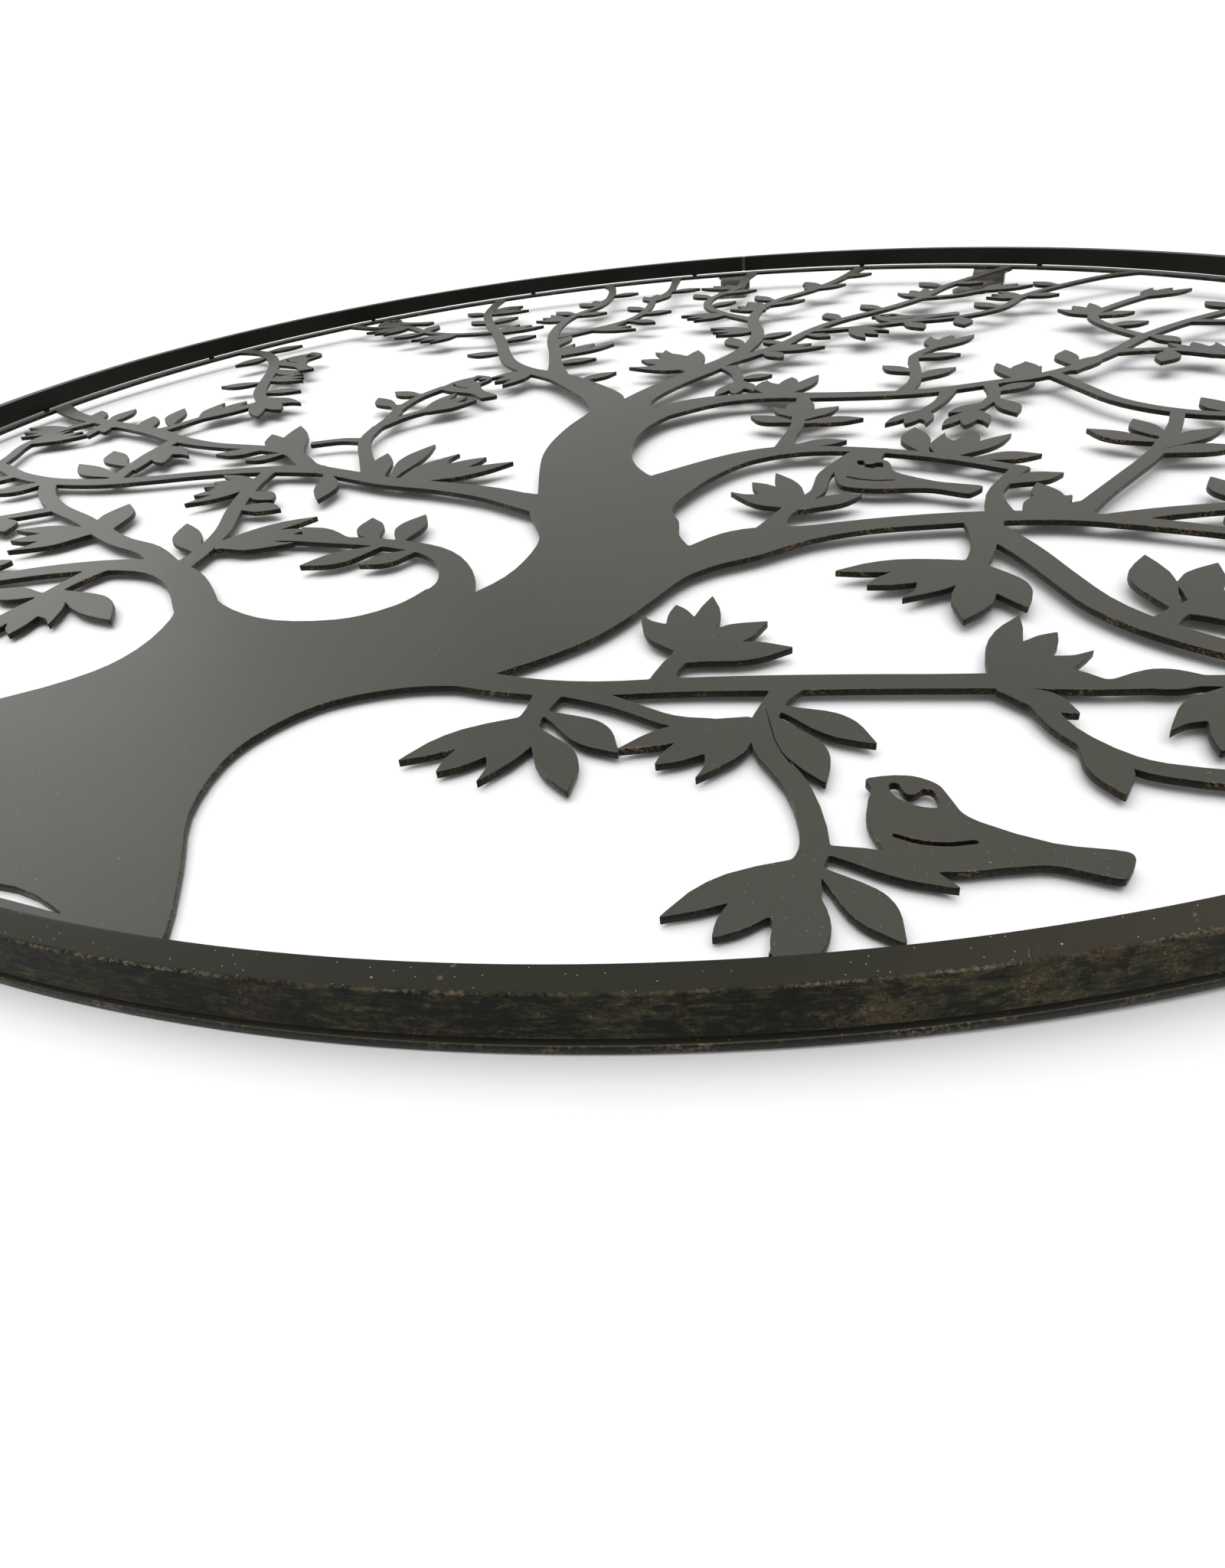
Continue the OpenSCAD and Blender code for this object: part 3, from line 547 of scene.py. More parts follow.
@dataclass(frozen=True)
class HangerPaint:
    """Thin dark paint on the bent strips, rubbed on its edges and around the keyhole."""

    paint: Colour = (0.060, 0.056, 0.048)
    thin_paint: Colour = (0.095, 0.085, 0.070)
    bare_steel: Colour = (0.34, 0.31, 0.27)
    shine: float = 0.45
    cloud_size: float = 9 * MM
    grain_size: float = 0.8 * MM
    rub_size: float = 2.5 * MM
    relief: float = 0.012 * MM

    def material(self) -> bpy.types.Material:
        """Builds the paint.

        Returns:
            The finished material.
        """
        s = Shader("hanger_paint")
        cloud = s.noise(self.cloud_size, 4.0, 0.6)
        grain = s.noise(self.grain_size, 3.0, 0.6)
        scuffs = s.scratches(8 * MM, 0.07 * MM, 75.0, 0.9)
        rub = s.attribute("rub") * s.noise(self.rub_size, 4.0, 0.7).step(0.45, 0.62)
        worn = (rub + scuffs * 0.6).clamped()
        base = s.mixed(cloud.step(0.4, 0.65), self.paint, self.thin_paint)
        base = s.mixed(worn * 0.8, base, self.bare_steel)
        rough = (0.44 + (grain - 0.5) * 0.25 - worn * 0.08).clamped()
        normal = s.raised(grain + worn * -0.5, self.relief)
        return s.finish(
            {"Specular IOR Level": self.shine},
            {"Base Color": base, "Roughness": rough, "Metallic": worn * 0.8, "Normal": normal},
        )


# ------------------------------------------------------------------ outlines


def left_normals(steps: np.ndarray) -> np.ndarray:
    """Gives the unit vector on the left of each step.

    Args:
        steps: vectors along an outline, n by 2.

    Returns:
        Unit vectors, n by 2.
    """
    lengths = np.maximum(np.hypot(steps[:, 0], steps[:, 1]), NO_LENGTH)
    return np.stack([-steps[:, 1], steps[:, 0]], 1) / lengths[:, None]


def mitred(loop: Loop, longest: float = 2.0) -> np.ndarray:
    """Gives the vector that moves each corner one unit off both its edges, to the left.

    Args:
        loop: a closed outline, n by 2.
        longest: the longest vector allowed at a sharp corner.

    Returns:
        Offset vectors, n by 2.
    """
    after = left_normals(np.roll(loop, -1, 0) - loop)
    before = np.roll(after, 1, 0)
    middle = after + before
    share = np.maximum((middle * middle).sum(1) / 2.0, NO_SHARE)
    vectors = middle / share[:, None]
    lengths = np.hypot(vectors[:, 0], vectors[:, 1])
    return vectors * np.minimum(1.0, longest / np.maximum(lengths, NO_SHARE))[:, None]


def turns(loop: Loop) -> np.ndarray:
    """Gives the turn at each corner of a closed outline.

    Args:
        loop: the outline, n by 2.

    Returns:
        Turns in radians, left positive.
    """
    after = np.roll(loop, -1, 0) - loop
    before = loop - np.roll(loop, 1, 0)
    cross = before[:, 0] * after[:, 1] - before[:, 1] * after[:, 0]
    return np.arctan2(cross, (before * after).sum(1))


def signed_area(loop: Loop) -> float:
    """Gives the area inside a closed outline, positive when it runs left round."""
    nxt = np.roll(loop, -1, 0)
    return float((loop[:, 0] * nxt[:, 1] - loop[:, 1] * nxt[:, 0]).sum() / 2.0)


def arc_points(middle: tuple[float, float], radius: float, start: float, sweep: float,
               steps: int) -> list[tuple[float, float]]:
    """Lists points along an arc, its two ends included.

    Args:
        middle: centre of the arc.
        radius: its radius.
        start: direction of its first point, in radians.
        sweep: angle that it covers, in radians, left positive.
        steps: number of straight pieces.

    Returns:
        One point more than there are pieces.
    """
    angles = [start + sweep * k / steps for k in range(steps + 1)]
    return [(middle[0] + radius * math.cos(a), middle[1] + radius * math.sin(a)) for a in angles]


@dataclass(frozen=True)
class OutlineRefiner:
    """Turns a coarse outline of straight pieces into a smooth cut line with soft corners."""

    shortest: float = 0.18 * MM
    sharp: float = math.radians(34.0)
    pitch: float = 0.15 * MM
    softness: float = 0.42 * MM
    turn_step: float = math.radians(9.0)
    longest: float = 5.0 * MM

    def cleaned(self, loop: Loop) -> Loop:
        """Merges points that lie closer together than the shortest piece.

        Args:
            loop: a closed outline.

        Returns:
            The outline with fewer points.
        """
        kept = [loop[0]]
        for point in loop[1:]:
            if math.dist(point, kept[-1]) >= self.shortest:
                kept.append(point)
        while len(kept) > 3 and math.dist(kept[0], kept[-1]) < self.shortest:
            kept.pop()
        return np.array(kept)

    def curved(self, loop: Loop) -> Loop:
        """Lays an even row of points on a smooth curve through the outline.

        Args:
            loop: a cleaned outline.

        Returns:
            Points about one pitch apart; corners sharper than the limit stay sharp.
        """
        corner = np.abs(turns(loop)) > self.sharp
        chord = np.roll(loop, -1, 0) - loop
        length = np.hypot(chord[:, 0], chord[:, 1])
        before = np.roll(chord, 1, 0) / np.roll(length, 1)[:, None]
        after = chord / length[:, None]
        weight = (np.roll(length, 1) / (length + np.roll(length, 1)))[:, None]
        through = before * (1.0 - weight) + after * weight
        out = np.where(corner[:, None], after, through)
        into = np.roll(np.where(corner[:, None], before, through), -1, 0)
        pieces = []
        for i in range(len(loop)):
            count = max(1, round(length[i] / self.pitch))
            t = (np.arange(count) / count)[:, None]
            a, b = loop[i], loop[(i + 1) % len(loop)]
            m, n = out[i] * length[i], into[i] * length[i]
            pieces.append((2 * t**3 - 3 * t**2 + 1) * a + (t**3 - 2 * t**2 + t) * m
                          + (3 * t**2 - 2 * t**3) * b + (t**3 - t**2) * n)
        return np.concatenate(pieces)

    def softened(self, loop: Loop) -> Loop:
        """Rounds every corner a little, inside and outside corners alike.

        Args:
            loop: an outline with points about one pitch apart.

        Returns:
            The softened outline, or the same one if it is too short to soften.
        """
        reach = int(math.ceil(3.0 * self.softness / self.pitch))
        if len(loop) < 2 * reach + 3:
            return loop
        weights = np.exp(-0.5 * (np.arange(-reach, reach + 1) * self.pitch / self.softness) ** 2)
        weights /= weights.sum()
        padded = np.concatenate([loop[-reach:], loop, loop[:reach]])
        return np.stack([np.convolve(padded[:, k], weights, "valid") for k in (0, 1)], 1)

    def thinned(self, loop: Loop) -> Loop:
        """Keeps only the points that a smooth line needs.

        Args:
            loop: a softened outline.

        Returns:
            The outline with fewer points.
        """
        bend = np.abs(turns(loop))
        chord = np.hypot(*(np.roll(loop, -1, 0) - loop).T)
        kept, turned, run = [0], 0.0, 0.0
        for i in range(1, len(loop)):
            run += chord[i - 1]
            turned += bend[i]
            if turned > self.turn_step or run > self.longest:
                kept.append(i)
                turned, run = 0.0, 0.0
        return loop[kept]

    def refine(self, loop: Loop) -> Loop:
        """Does all the steps in turn.

        Args:
            loop: a coarse closed outline.

        Returns:
            The smooth outline.
        """
        return self.thinned(self.softened(self.curved(self.cleaned(loop))))


@dataclass(frozen=True)
class EdgeRing:
    """One line around a plate's edge: how far it lies in, how deep, and what it carries."""

    inset: float
    depth: float
    rub: float
    cut: float


@dataclass
class Plate:
    """A closed plate cut to outlines, with a softened rim on both faces.

    Outlines have the metal on their left. Points come out as (u, v, depth), where depth
    runs from 0 at the front face to the plate's thickness at the back.
    """

    loops: list[Loop]
    thickness: float
    front_soft: float
    back_soft: float
    inner_points: np.ndarray = field(default_factory=lambda: np.zeros((0, 2)))
    halfway: float = 0.29         # inset of a soft edge's middle line, in edge widths
    corner_room: float = 0.55     # how far a corner may move in, in corner radii
    beside_room: float = 0.75     # the same for the two points on each side of it
    merge_within: float = 1e-9

    def rings(self) -> list[EdgeRing]:
        """Lists the lines around the edge.

        Returns:
            The lines from the front face to the back.
        """
        soft, back, deep = self.front_soft, self.back_soft, self.thickness
        return [
            EdgeRing(soft, 0.0, 0.0, 0.0),
            EdgeRing(self.halfway * soft, self.halfway * soft, 1.0, 0.15),
            EdgeRing(0.0, soft, 0.8, 1.0),
            EdgeRing(0.0, deep - back, 0.4, 1.0),
            EdgeRing(back, deep, 0.0, 0.0),
        ]

    def _room(self, loop: Loop, wanted: float) -> np.ndarray:
        """Says how far each point may move in without folding a tight outside corner.

        Args:
            loop: a closed outline.
            wanted: the distance to move in where there is room.

        Returns:
            The distance for each point.
        """
        chord = np.hypot(*(np.roll(loop, -1, 0) - loop).T)
        bend = np.maximum(turns(loop), 0.0)
        around = (chord + np.roll(chord, 1)) / 2.0
        radius = np.where(bend > STRAIGHT, around / np.maximum(bend, STRAIGHT), 1.0)
        room = np.minimum(wanted, self.corner_room * radius)
        beside = np.minimum(wanted, self.beside_room * radius)
        for shift in (1, -1, 2, -2):
            room = np.minimum(room, np.roll(beside, shift))
        return room

    def build(self) -> tuple[np.ndarray, list[tuple[int, ...]], np.ndarray, np.ndarray]:
        """Builds the plate.

        Returns:
            Points, faces, and the rub and cut values of each point.
        """
        rings = self.rings()
        count = sum(len(loop) for loop in self.loops)
        vectors = np.concatenate([mitred(loop) for loop in self.loops])
        flat = np.concatenate(self.loops)
        points, rub, cut = [], [], []
        for ring in rings:
            room = np.concatenate([self._room(loop, ring.inset) for loop in self.loops])
            moved = flat + vectors * room[:, None]
            points.append(np.column_stack([moved, np.full(count, ring.depth)]))
            rub.append(np.full(count, ring.rub))
            cut.append(np.full(count, ring.cut))
        faces = self._walls(len(rings), count)
        extra = self.inner_points
        base = count * len(rings)
        cap = self._cap(points[0][:, :2], extra)
        for depth in (0.0, self.thickness):
            points.append(np.column_stack([extra, np.full(len(extra), depth)]))
            rub.append(np.zeros(len(extra)))
            cut.append(np.zeros(len(extra)))
        last = count * (len(rings) - 1)
        for a, b, c in cap:
            front = [i if i < count else base + i - count for i in (a, b, c)]
            rear = [last + i if i < count else base + len(extra) + i - count for i in (a, b, c)]
            faces.append(tuple(front))
            faces.append(tuple(reversed(rear)))
        return np.concatenate(points), faces, np.concatenate(rub), np.concatenate(cut)

    def _walls(self, rings: int, count: int) -> list[tuple[int, ...]]:
        """Joins neighbouring lines around the edge with quads.

        Args:
            rings: number of lines around the edge.
            count: number of points in each line.

        Returns:
            The quads.
        """
        faces, start = [], 0
        for loop in self.loops:
            here = start + np.arange(len(loop))
            there = start + (np.arange(len(loop)) + 1) % len(loop)
            for k in range(rings - 1):
                upper, lower = k * count, (k + 1) * count
                faces += [(int(upper + b), int(upper + a), int(lower + a), int(lower + b))
                          for a, b in zip(here, there)]
            start += len(loop)
        return faces

    def _cap(self, rim: np.ndarray, extra: np.ndarray) -> list[tuple[int, int, int]]:
        """Fills the front face with triangles.

        Args:
            rim: points of the first line around the edge.
            extra: points inside the face.

        Returns:
            Triangles that run left round, as numbers into rim followed by extra.
        """
        edges, start = [], 0
        for loop in self.loops:
            n = len(loop)
            edges += [(start + i, start + (i + 1) % n) for i in range(n)]
            start += n
        every = [Vector(p) for p in np.concatenate([rim, extra])]
        out, _, faces, sources, _, _ = delaunay_2d_cdt(every, edges, [], 0, self.merge_within,
                                                       True)
        if len(out) != len(every) or any(len(s) != 1 for s in sources):
            LOG.warning("outline touches itself: %d points in, %d out", len(every), len(out))
        back = [s[0] if s else -1 for s in sources]
        owner: dict[tuple[int, int], int] = {}
        tris = []
        for face in faces:
            tri = tuple(back[i] for i in face)
            if min(tri) < 0:
                continue
            a, b, c = (every[i] for i in tri)
            if (b - a).cross(c - a) < 0:
                tri = tri[::-1]
            for k in range(3):
                owner[(tri[k], tri[(k + 1) % 3])] = len(tris)
            tris.append(tri)
        fence = set(edges) | {(b, a) for a, b in edges}
        inside = [False] * len(tris)
        queue = deque(owner[e] for e in edges if e in owner)
        while queue:
            i = queue.popleft()
            if inside[i]:
                continue
            inside[i] = True
            for k in range(3):
                edge = (tris[i][k], tris[i][(k + 1) % 3])
                other = owner.get((edge[1], edge[0]))
                if edge not in fence and other is not None and not inside[other]:
                    queue.append(other)
        return [tri for tri, keep in zip(tris, inside) if keep]


def mesh_object(name: str, points: np.ndarray, faces: Sequence[tuple[int, ...]],
                carried: dict[str, np.ndarray], smooth_from: Optional[np.ndarray] = None
                ) -> bpy.types.Object:
    """Makes a mesh object.

    Args:
        name: the object's name.
        points: vertex places, n by 3.
        faces: vertex numbers of each face.
        carried: numbers that each vertex carries, by name.
        smooth_from: per face, whether it is shaded smooth; all are when left out.

    Returns:
        The object, linked to the scene.
    """
    mesh = bpy.data.meshes.new(name)
    mesh.from_pydata([tuple(p) for p in points], [], [tuple(f) for f in faces])
    for key, values in carried.items():
        layer = mesh.attributes.new(key, "FLOAT", "POINT")
        layer.data.foreach_set("value", np.asarray(values, np.float32))
    flags = np.ones(len(mesh.polygons), bool) if smooth_from is None else smooth_from
    mesh.polygons.foreach_set("use_smooth", flags)
    mesh.update()
    piece = bpy.data.objects.new(name, mesh)
    bpy.context.scene.collection.objects.link(piece)
    return piece


def node_points(node: str) -> np.ndarray:
    """Reads the vertex places of a CAD node.

    Args:
        node: the node's name.

    Returns:
        Places in the row frame, n by 3.
    """
    mesh = frame["nodes"][node].data
    flat = np.zeros(len(mesh.vertices) * 3)
    mesh.vertices.foreach_get("co", flat)
    return flat.reshape(-1, 3)


def node_radii(node: str) -> tuple[float, float]:
    """Gives a CAD node's smallest and largest distance from the disc's axis."""
    reach = np.hypot(*node_points(node)[:, :2].T)
    return float(reach.min()), float(reach.max())


# -------------------------------------------------------------------- pieces


class Piece:
    """A part of the visual model that stands for CAD nodes."""

    def claim(self, piece: bpy.types.Object, nodes: Sequence[str], slot: Slot,
              material: bpy.types.Material) -> bpy.types.Object:
        """Dresses a finished object, parents it to the root empty and hides the CAD nodes that it
        stands for.

        Args:
            piece: the object.
            nodes: CAD nodes it stands for.
            slot: not used.
            material: its finish.

        Returns:
            The same object.
        """
        piece.data.materials.clear()
        piece.data.materials.append(material)
        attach(piece, ROOT)
        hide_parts(*nodes)
        return piece


@dataclass
class TreePanel(Piece):
    """The one cut sheet: border ring, trunk, boughs, leaves, flowers and birds."""

    seam_cover: float = 0.03 * MM
    longest_spread: float = 1.6   # at a sharp corner, in seam covers
    merge_within: float = 2e-7
    ring_sides: int = 720
    edge_ease: float = 0.02 * MM
    round_within: float = 0.02 * MM
    smallest_hole: float = 3.0 * MM * MM
    front_soft: float = 0.17 * MM
    back_soft: float = 0.11 * MM
    refiner: OutlineRefiner = field(default_factory=OutlineRefiner)

    def nodes(self) -> list[str]:
        """Names the CAD nodes that make up the sheet."""
        return [row["node"] for row in frame["record"]["subparts"]
                if row["material_slot"] == Slot.SHEET.value]

    def drawn_node(self, node: str) -> list[Loop]:
        """Reads the outlines of one node's front face, spread a hair to overlap its neighbours.

        Args:
            node: the node's name.

        Returns:
            Closed outlines with the metal on their left.
        """
        points = node_points(node)
        mesh = frame["nodes"][node].data
        front = points[:, 2].max() - LEVEL_WITHIN
        faces = np.array([p.vertices[:] for p in mesh.polygons
                          if all(points[i][2] > front for i in p.vertices)])
        _, first, same = np.unique(np.round(points[:, :2], PLACE_DIGITS), axis=0,
                                   return_index=True, return_inverse=True)
        flat, tris = points[first][:, :2], same.reshape(-1)[faces]
        edges = {(t[k], t[(k + 1) % 3]) for t in tris.tolist() for k in range(3)}
        nxt = {a: b for a, b in edges if (b, a) not in edges}
        loops = [flat[loop] for loop in self._walk(nxt)]
        return [loop - mitred(loop, self.longest_spread) * self.seam_cover for loop in loops]

    @staticmethod
    def _walk(nxt: dict[int, int]) -> list[list[int]]:
        """Follows boundary steps round to closed loops.

        Args:
            nxt: the next point of each point on the boundary.

        Returns:
            Closed loops of point numbers.
        """
        left, loops = dict(nxt), []
        while left:
            start, here = next(iter(left.items()))
            loop = [start]
            del left[start]
            while here != start and here in left:
                loop.append(here)
                here = left.pop(here)
            if len(loop) > 2:
                loops.append(loop)
        return loops

    def drawn_ring(self) -> list[Loop]:
        """Draws the border ring finely, from the CAD ring's two radii.

        Returns:
            The outer circle, left round, and the inner one, right round.
        """
        inner, outer = node_radii("border_ring")
        angles = np.arange(self.ring_sides) * 2.0 * math.pi / self.ring_sides
        unit = np.stack([np.cos(angles), np.sin(angles)], 1)
        return [unit * (outer - self.edge_ease), unit[::-1] * (inner - self.seam_cover)]

    @staticmethod
    def covered(spots: np.ndarray, loops: list[Loop], batch: int = 400) -> np.ndarray:
        """Says which spots lie inside a set of outlines.

        Args:
            spots: places to test, n by 2.
            loops: closed outlines with the metal on their left.
            batch: number of places tested at a time.

        Returns:
            True for each spot on metal.
        """
        start = np.concatenate(loops)
        end = np.concatenate([np.roll(loop, -1, 0) for loop in loops])
        low, high = start.min(0), start.max(0)
        inside = np.zeros(len(spots), bool)
        near = np.nonzero(((spots > low) & (spots < high)).all(1))[0]
        for part in np.array_split(near, 1 + len(near) // batch):
            x, y = spots[part, 0][:, None], spots[part, 1][:, None]
            left = ((end[:, 0] - start[:, 0]) * (y - start[:, 1])
                    - (end[:, 1] - start[:, 1]) * (x - start[:, 0])) > 0.0
            rising = (start[:, 1] <= y) & (end[:, 1] > y) & left
            falling = (start[:, 1] > y) & (end[:, 1] <= y) & ~left
            inside[part] = rising.sum(1) - falling.sum(1) > 0
        return inside

    def outlines(self) -> list[Loop]:
        """Joins all the nodes' front faces and follows the outline of the whole.

        Returns:
            Closed outlines with the metal on their left.
        """
        drawn = [self.drawn_ring() if node == "border_ring" else self.drawn_node(node)
                 for node in self.nodes()]
        lines, edges = [], []
        for loop in (loop for loops in drawn for loop in loops):
            n, start = len(loop), len(lines)
            lines += [Vector(p) for p in loop]
            edges += [(start + i, start + (i + 1) % n) for i in range(n)]
        out, _, cells, _, _, _ = delaunay_2d_cdt(lines, edges, [], 0, self.merge_within, False)
        places, cells = np.array([tuple(p) for p in out]), np.array(cells)
        one, two = (places[cells[:, k]] - places[cells[:, 0]] for k in (1, 2))
        back = one[:, 0] * two[:, 1] - one[:, 1] * two[:, 0] < 0
        cells[back] = cells[back][:, ::-1]
        middles = places[cells].mean(1)
        solid = np.zeros(len(cells), bool)
        for loops in drawn:
            solid |= self.covered(middles, loops)
        sides = {(t[k], t[(k + 1) % 3]) for t in cells[solid].tolist() for k in range(3)}
        steps: dict[int, list[int]] = {}
        for a, b in sides:
            if (b, a) not in sides:
                steps.setdefault(a, []).append(b)
        loops = [places[loop] for loop in self._trace(steps, places)]
        return [loop for loop in loops if abs(signed_area(loop)) > self.smallest_hole]

    @staticmethod
    def _trace(steps: dict[int, list[int]], places: np.ndarray) -> list[list[int]]:
        """Follows boundary steps to loops, keeping to the right where two loops meet.

        Args:
            steps: for each point, the points that a boundary step leads to.
            places: the points' places.

        Returns:
            Closed loops of point numbers.
        """
        loops = []
        while steps:
            start = min(steps)
            before, here = None, start
            loop = []
            while here in steps:
                choices = steps[here]
                pick = 0
                if before is not None and len(choices) > 1:
                    came = places[here] - places[before]

                    def bend(k: int) -> float:
                        """Gives the turn of a choice, in radians, left positive."""
                        go = places[choices[k]] - places[here]
                        return math.atan2(came[0] * go[1] - came[1] * go[0], float(came @ go))

                    pick = max(range(len(choices)), key=bend)
                after = choices.pop(pick)
                if not choices:
                    del steps[here]
                loop.append(here)
                before, here = here, after
                if here == start:
                    break
            if len(loop) > 2:
                loops.append(loop)
        return loops

    def smooth_outlines(self) -> list[Loop]:
        """Refines every outline but the outer circle, which is smooth already.

        Returns:
            Closed outlines with the metal on their left.
        """
        done = []
        for loop in self.outlines():
            reach = np.hypot(loop[:, 0], loop[:, 1])
            circle = float(np.ptp(reach)) < self.round_within
            done.append(loop if circle else self.refiner.refine(loop))
        return done

    def build(self, coat: SheetCoat) -> bpy.types.Object:
        """Builds and dresses the panel.

        Args:
            coat: its finish.

        Returns:
            The finished piece.
        """
        low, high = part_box("border_ring")
        plate = Plate(self.smooth_outlines(), high[2] - low[2], self.front_soft, self.back_soft)
        points, faces, rub, cut = plate.build()
        points[:, 2] = high[2] - points[:, 2]
        walls = (len(plate.rings()) - 1) * sum(len(loop) for loop in plate.loops)
        smooth = np.arange(len(faces)) < walls
        piece = mesh_object("tree_panel", points, faces, {"rub": rub, "cut": cut}, smooth)
        return self.claim(piece, self.nodes(), Slot.SHEET, coat.material())


class GeometryTree(Graph):
    """A Geometry Nodes tree with named inputs, run once to make a plain mesh."""

    def __init__(self, name: str, inputs: dict[str, tuple[str, Any]]) -> None:
        """Starts a tree.

        Args:
            name: the tree's name.
            inputs: socket type and value of each named input.
        """
        super().__init__(bpy.data.node_groups.new(name, "GeometryNodeTree"))
        self.values = {key: value for key, (_, value) in inputs.items()}
        face = self.tree.interface
        face.new_socket("Geometry", in_out="INPUT", socket_type="NodeSocketGeometry")
        for key, (kind, _) in inputs.items():
            face.new_socket(key, in_out="INPUT", socket_type=kind)
        face.new_socket("Geometry", in_out="OUTPUT", socket_type="NodeSocketGeometry")
        self.source = self.add("NodeGroupInput")

    def given(self, key: str) -> bpy.types.NodeSocket:
        """Gives the link of a named input."""
        return self.source.outputs[key]

    def end(self, geometry: bpy.types.NodeSocket, material: bpy.types.Material) -> None:
        """Ends the tree: real geometry, shaded smooth, with its finish.

        Args:
            geometry: what the tree makes.
            material: its finish.
        """
        real = self.add("GeometryNodeRealizeInstances", {}, {0: geometry})
        even = self.add("GeometryNodeSetShadeSmooth", {}, {"Geometry": real.outputs[0]})
        dressed = self.add("GeometryNodeSetMaterial", {},
                           {"Geometry": even.outputs[0], "Material": material})
        self.add("NodeGroupOutput", {}, {0: dressed.outputs[0]})

    def run(self, piece: bpy.types.Object) -> bpy.types.Object:
        """Runs the tree on an object and leaves only the resulting mesh.

        Args:
            piece: an object whose mesh feeds the tree.

        Returns:
            The same object, with a plain mesh and no modifier.
        """
        modifier = piece.modifiers.new(self.tree.name, "NODES")
        modifier.node_group = self.tree
        for item in self.tree.interface.items_tree:
            if item.in_out == "INPUT" and item.name in self.values:
                modifier[item.identifier] = self.values[item.name]
        bpy.context.view_layer.update()
        made = piece.evaluated_get(bpy.context.evaluated_depsgraph_get())
        mesh = bpy.data.meshes.new_from_object(made)
        piece.modifiers.clear()
        piece.data = mesh
        mesh.name = piece.name
        return piece


def path_object(name: str, points: Sequence[Sequence[float]], edges: Sequence[tuple[int, int]]
                ) -> bpy.types.Object:
    """Makes an object of bare edges for a Geometry Nodes tree to follow.

    Args:
        name: the object's name.
        points: vertex places.
        edges: pairs of vertex numbers.

    Returns:
        The object, linked to the scene.
    """
    mesh = bpy.data.meshes.new(name)
    mesh.from_pydata([tuple(p) for p in points], list(edges), [])
    piece = bpy.data.objects.new(name, mesh)
    bpy.context.scene.collection.objects.link(piece)
    return piece


@dataclass
class BarSection:
    """Cross-section of the flat bar: a rectangle with worn round corners."""

    width: float
    height: float
    corner: float = 0.5 * MM
    corner_steps: int = 4
    support: float = 0.25 * MM

    def points(self) -> list[tuple[float, float, float]]:
        """Draws the section, with a few more points along its flats.

        Returns:
            The section's points, left round, centred on the bar.
        """
        flat_w, flat_h = self.width / 2.0 - self.corner, self.height / 2.0 - self.corner
        rounded = []
        for k, (x, y) in enumerate(((flat_w, flat_h), (-flat_w, flat_h), (-flat_w, -flat_h),
                                    (flat_w, -flat_h))):
            rounded += arc_points((x, y), self.corner, k * QUARTER, QUARTER, self.corner_steps)
        full, n = [], len(rounded)
        for i, here in enumerate(rounded):
            full.append(here)
            there = rounded[(i + 1) % n]
            length = math.dist(here, there)
            if length > 3.0 * self.support:
                for share in (self.support / length, 0.5, 1.0 - self.support / length):
                    full.append((here[0] + (there[0] - here[0]) * share,
                                 here[1] + (there[1] - here[1]) * share))
        return [(x, y, 0.0) for x, y in full]


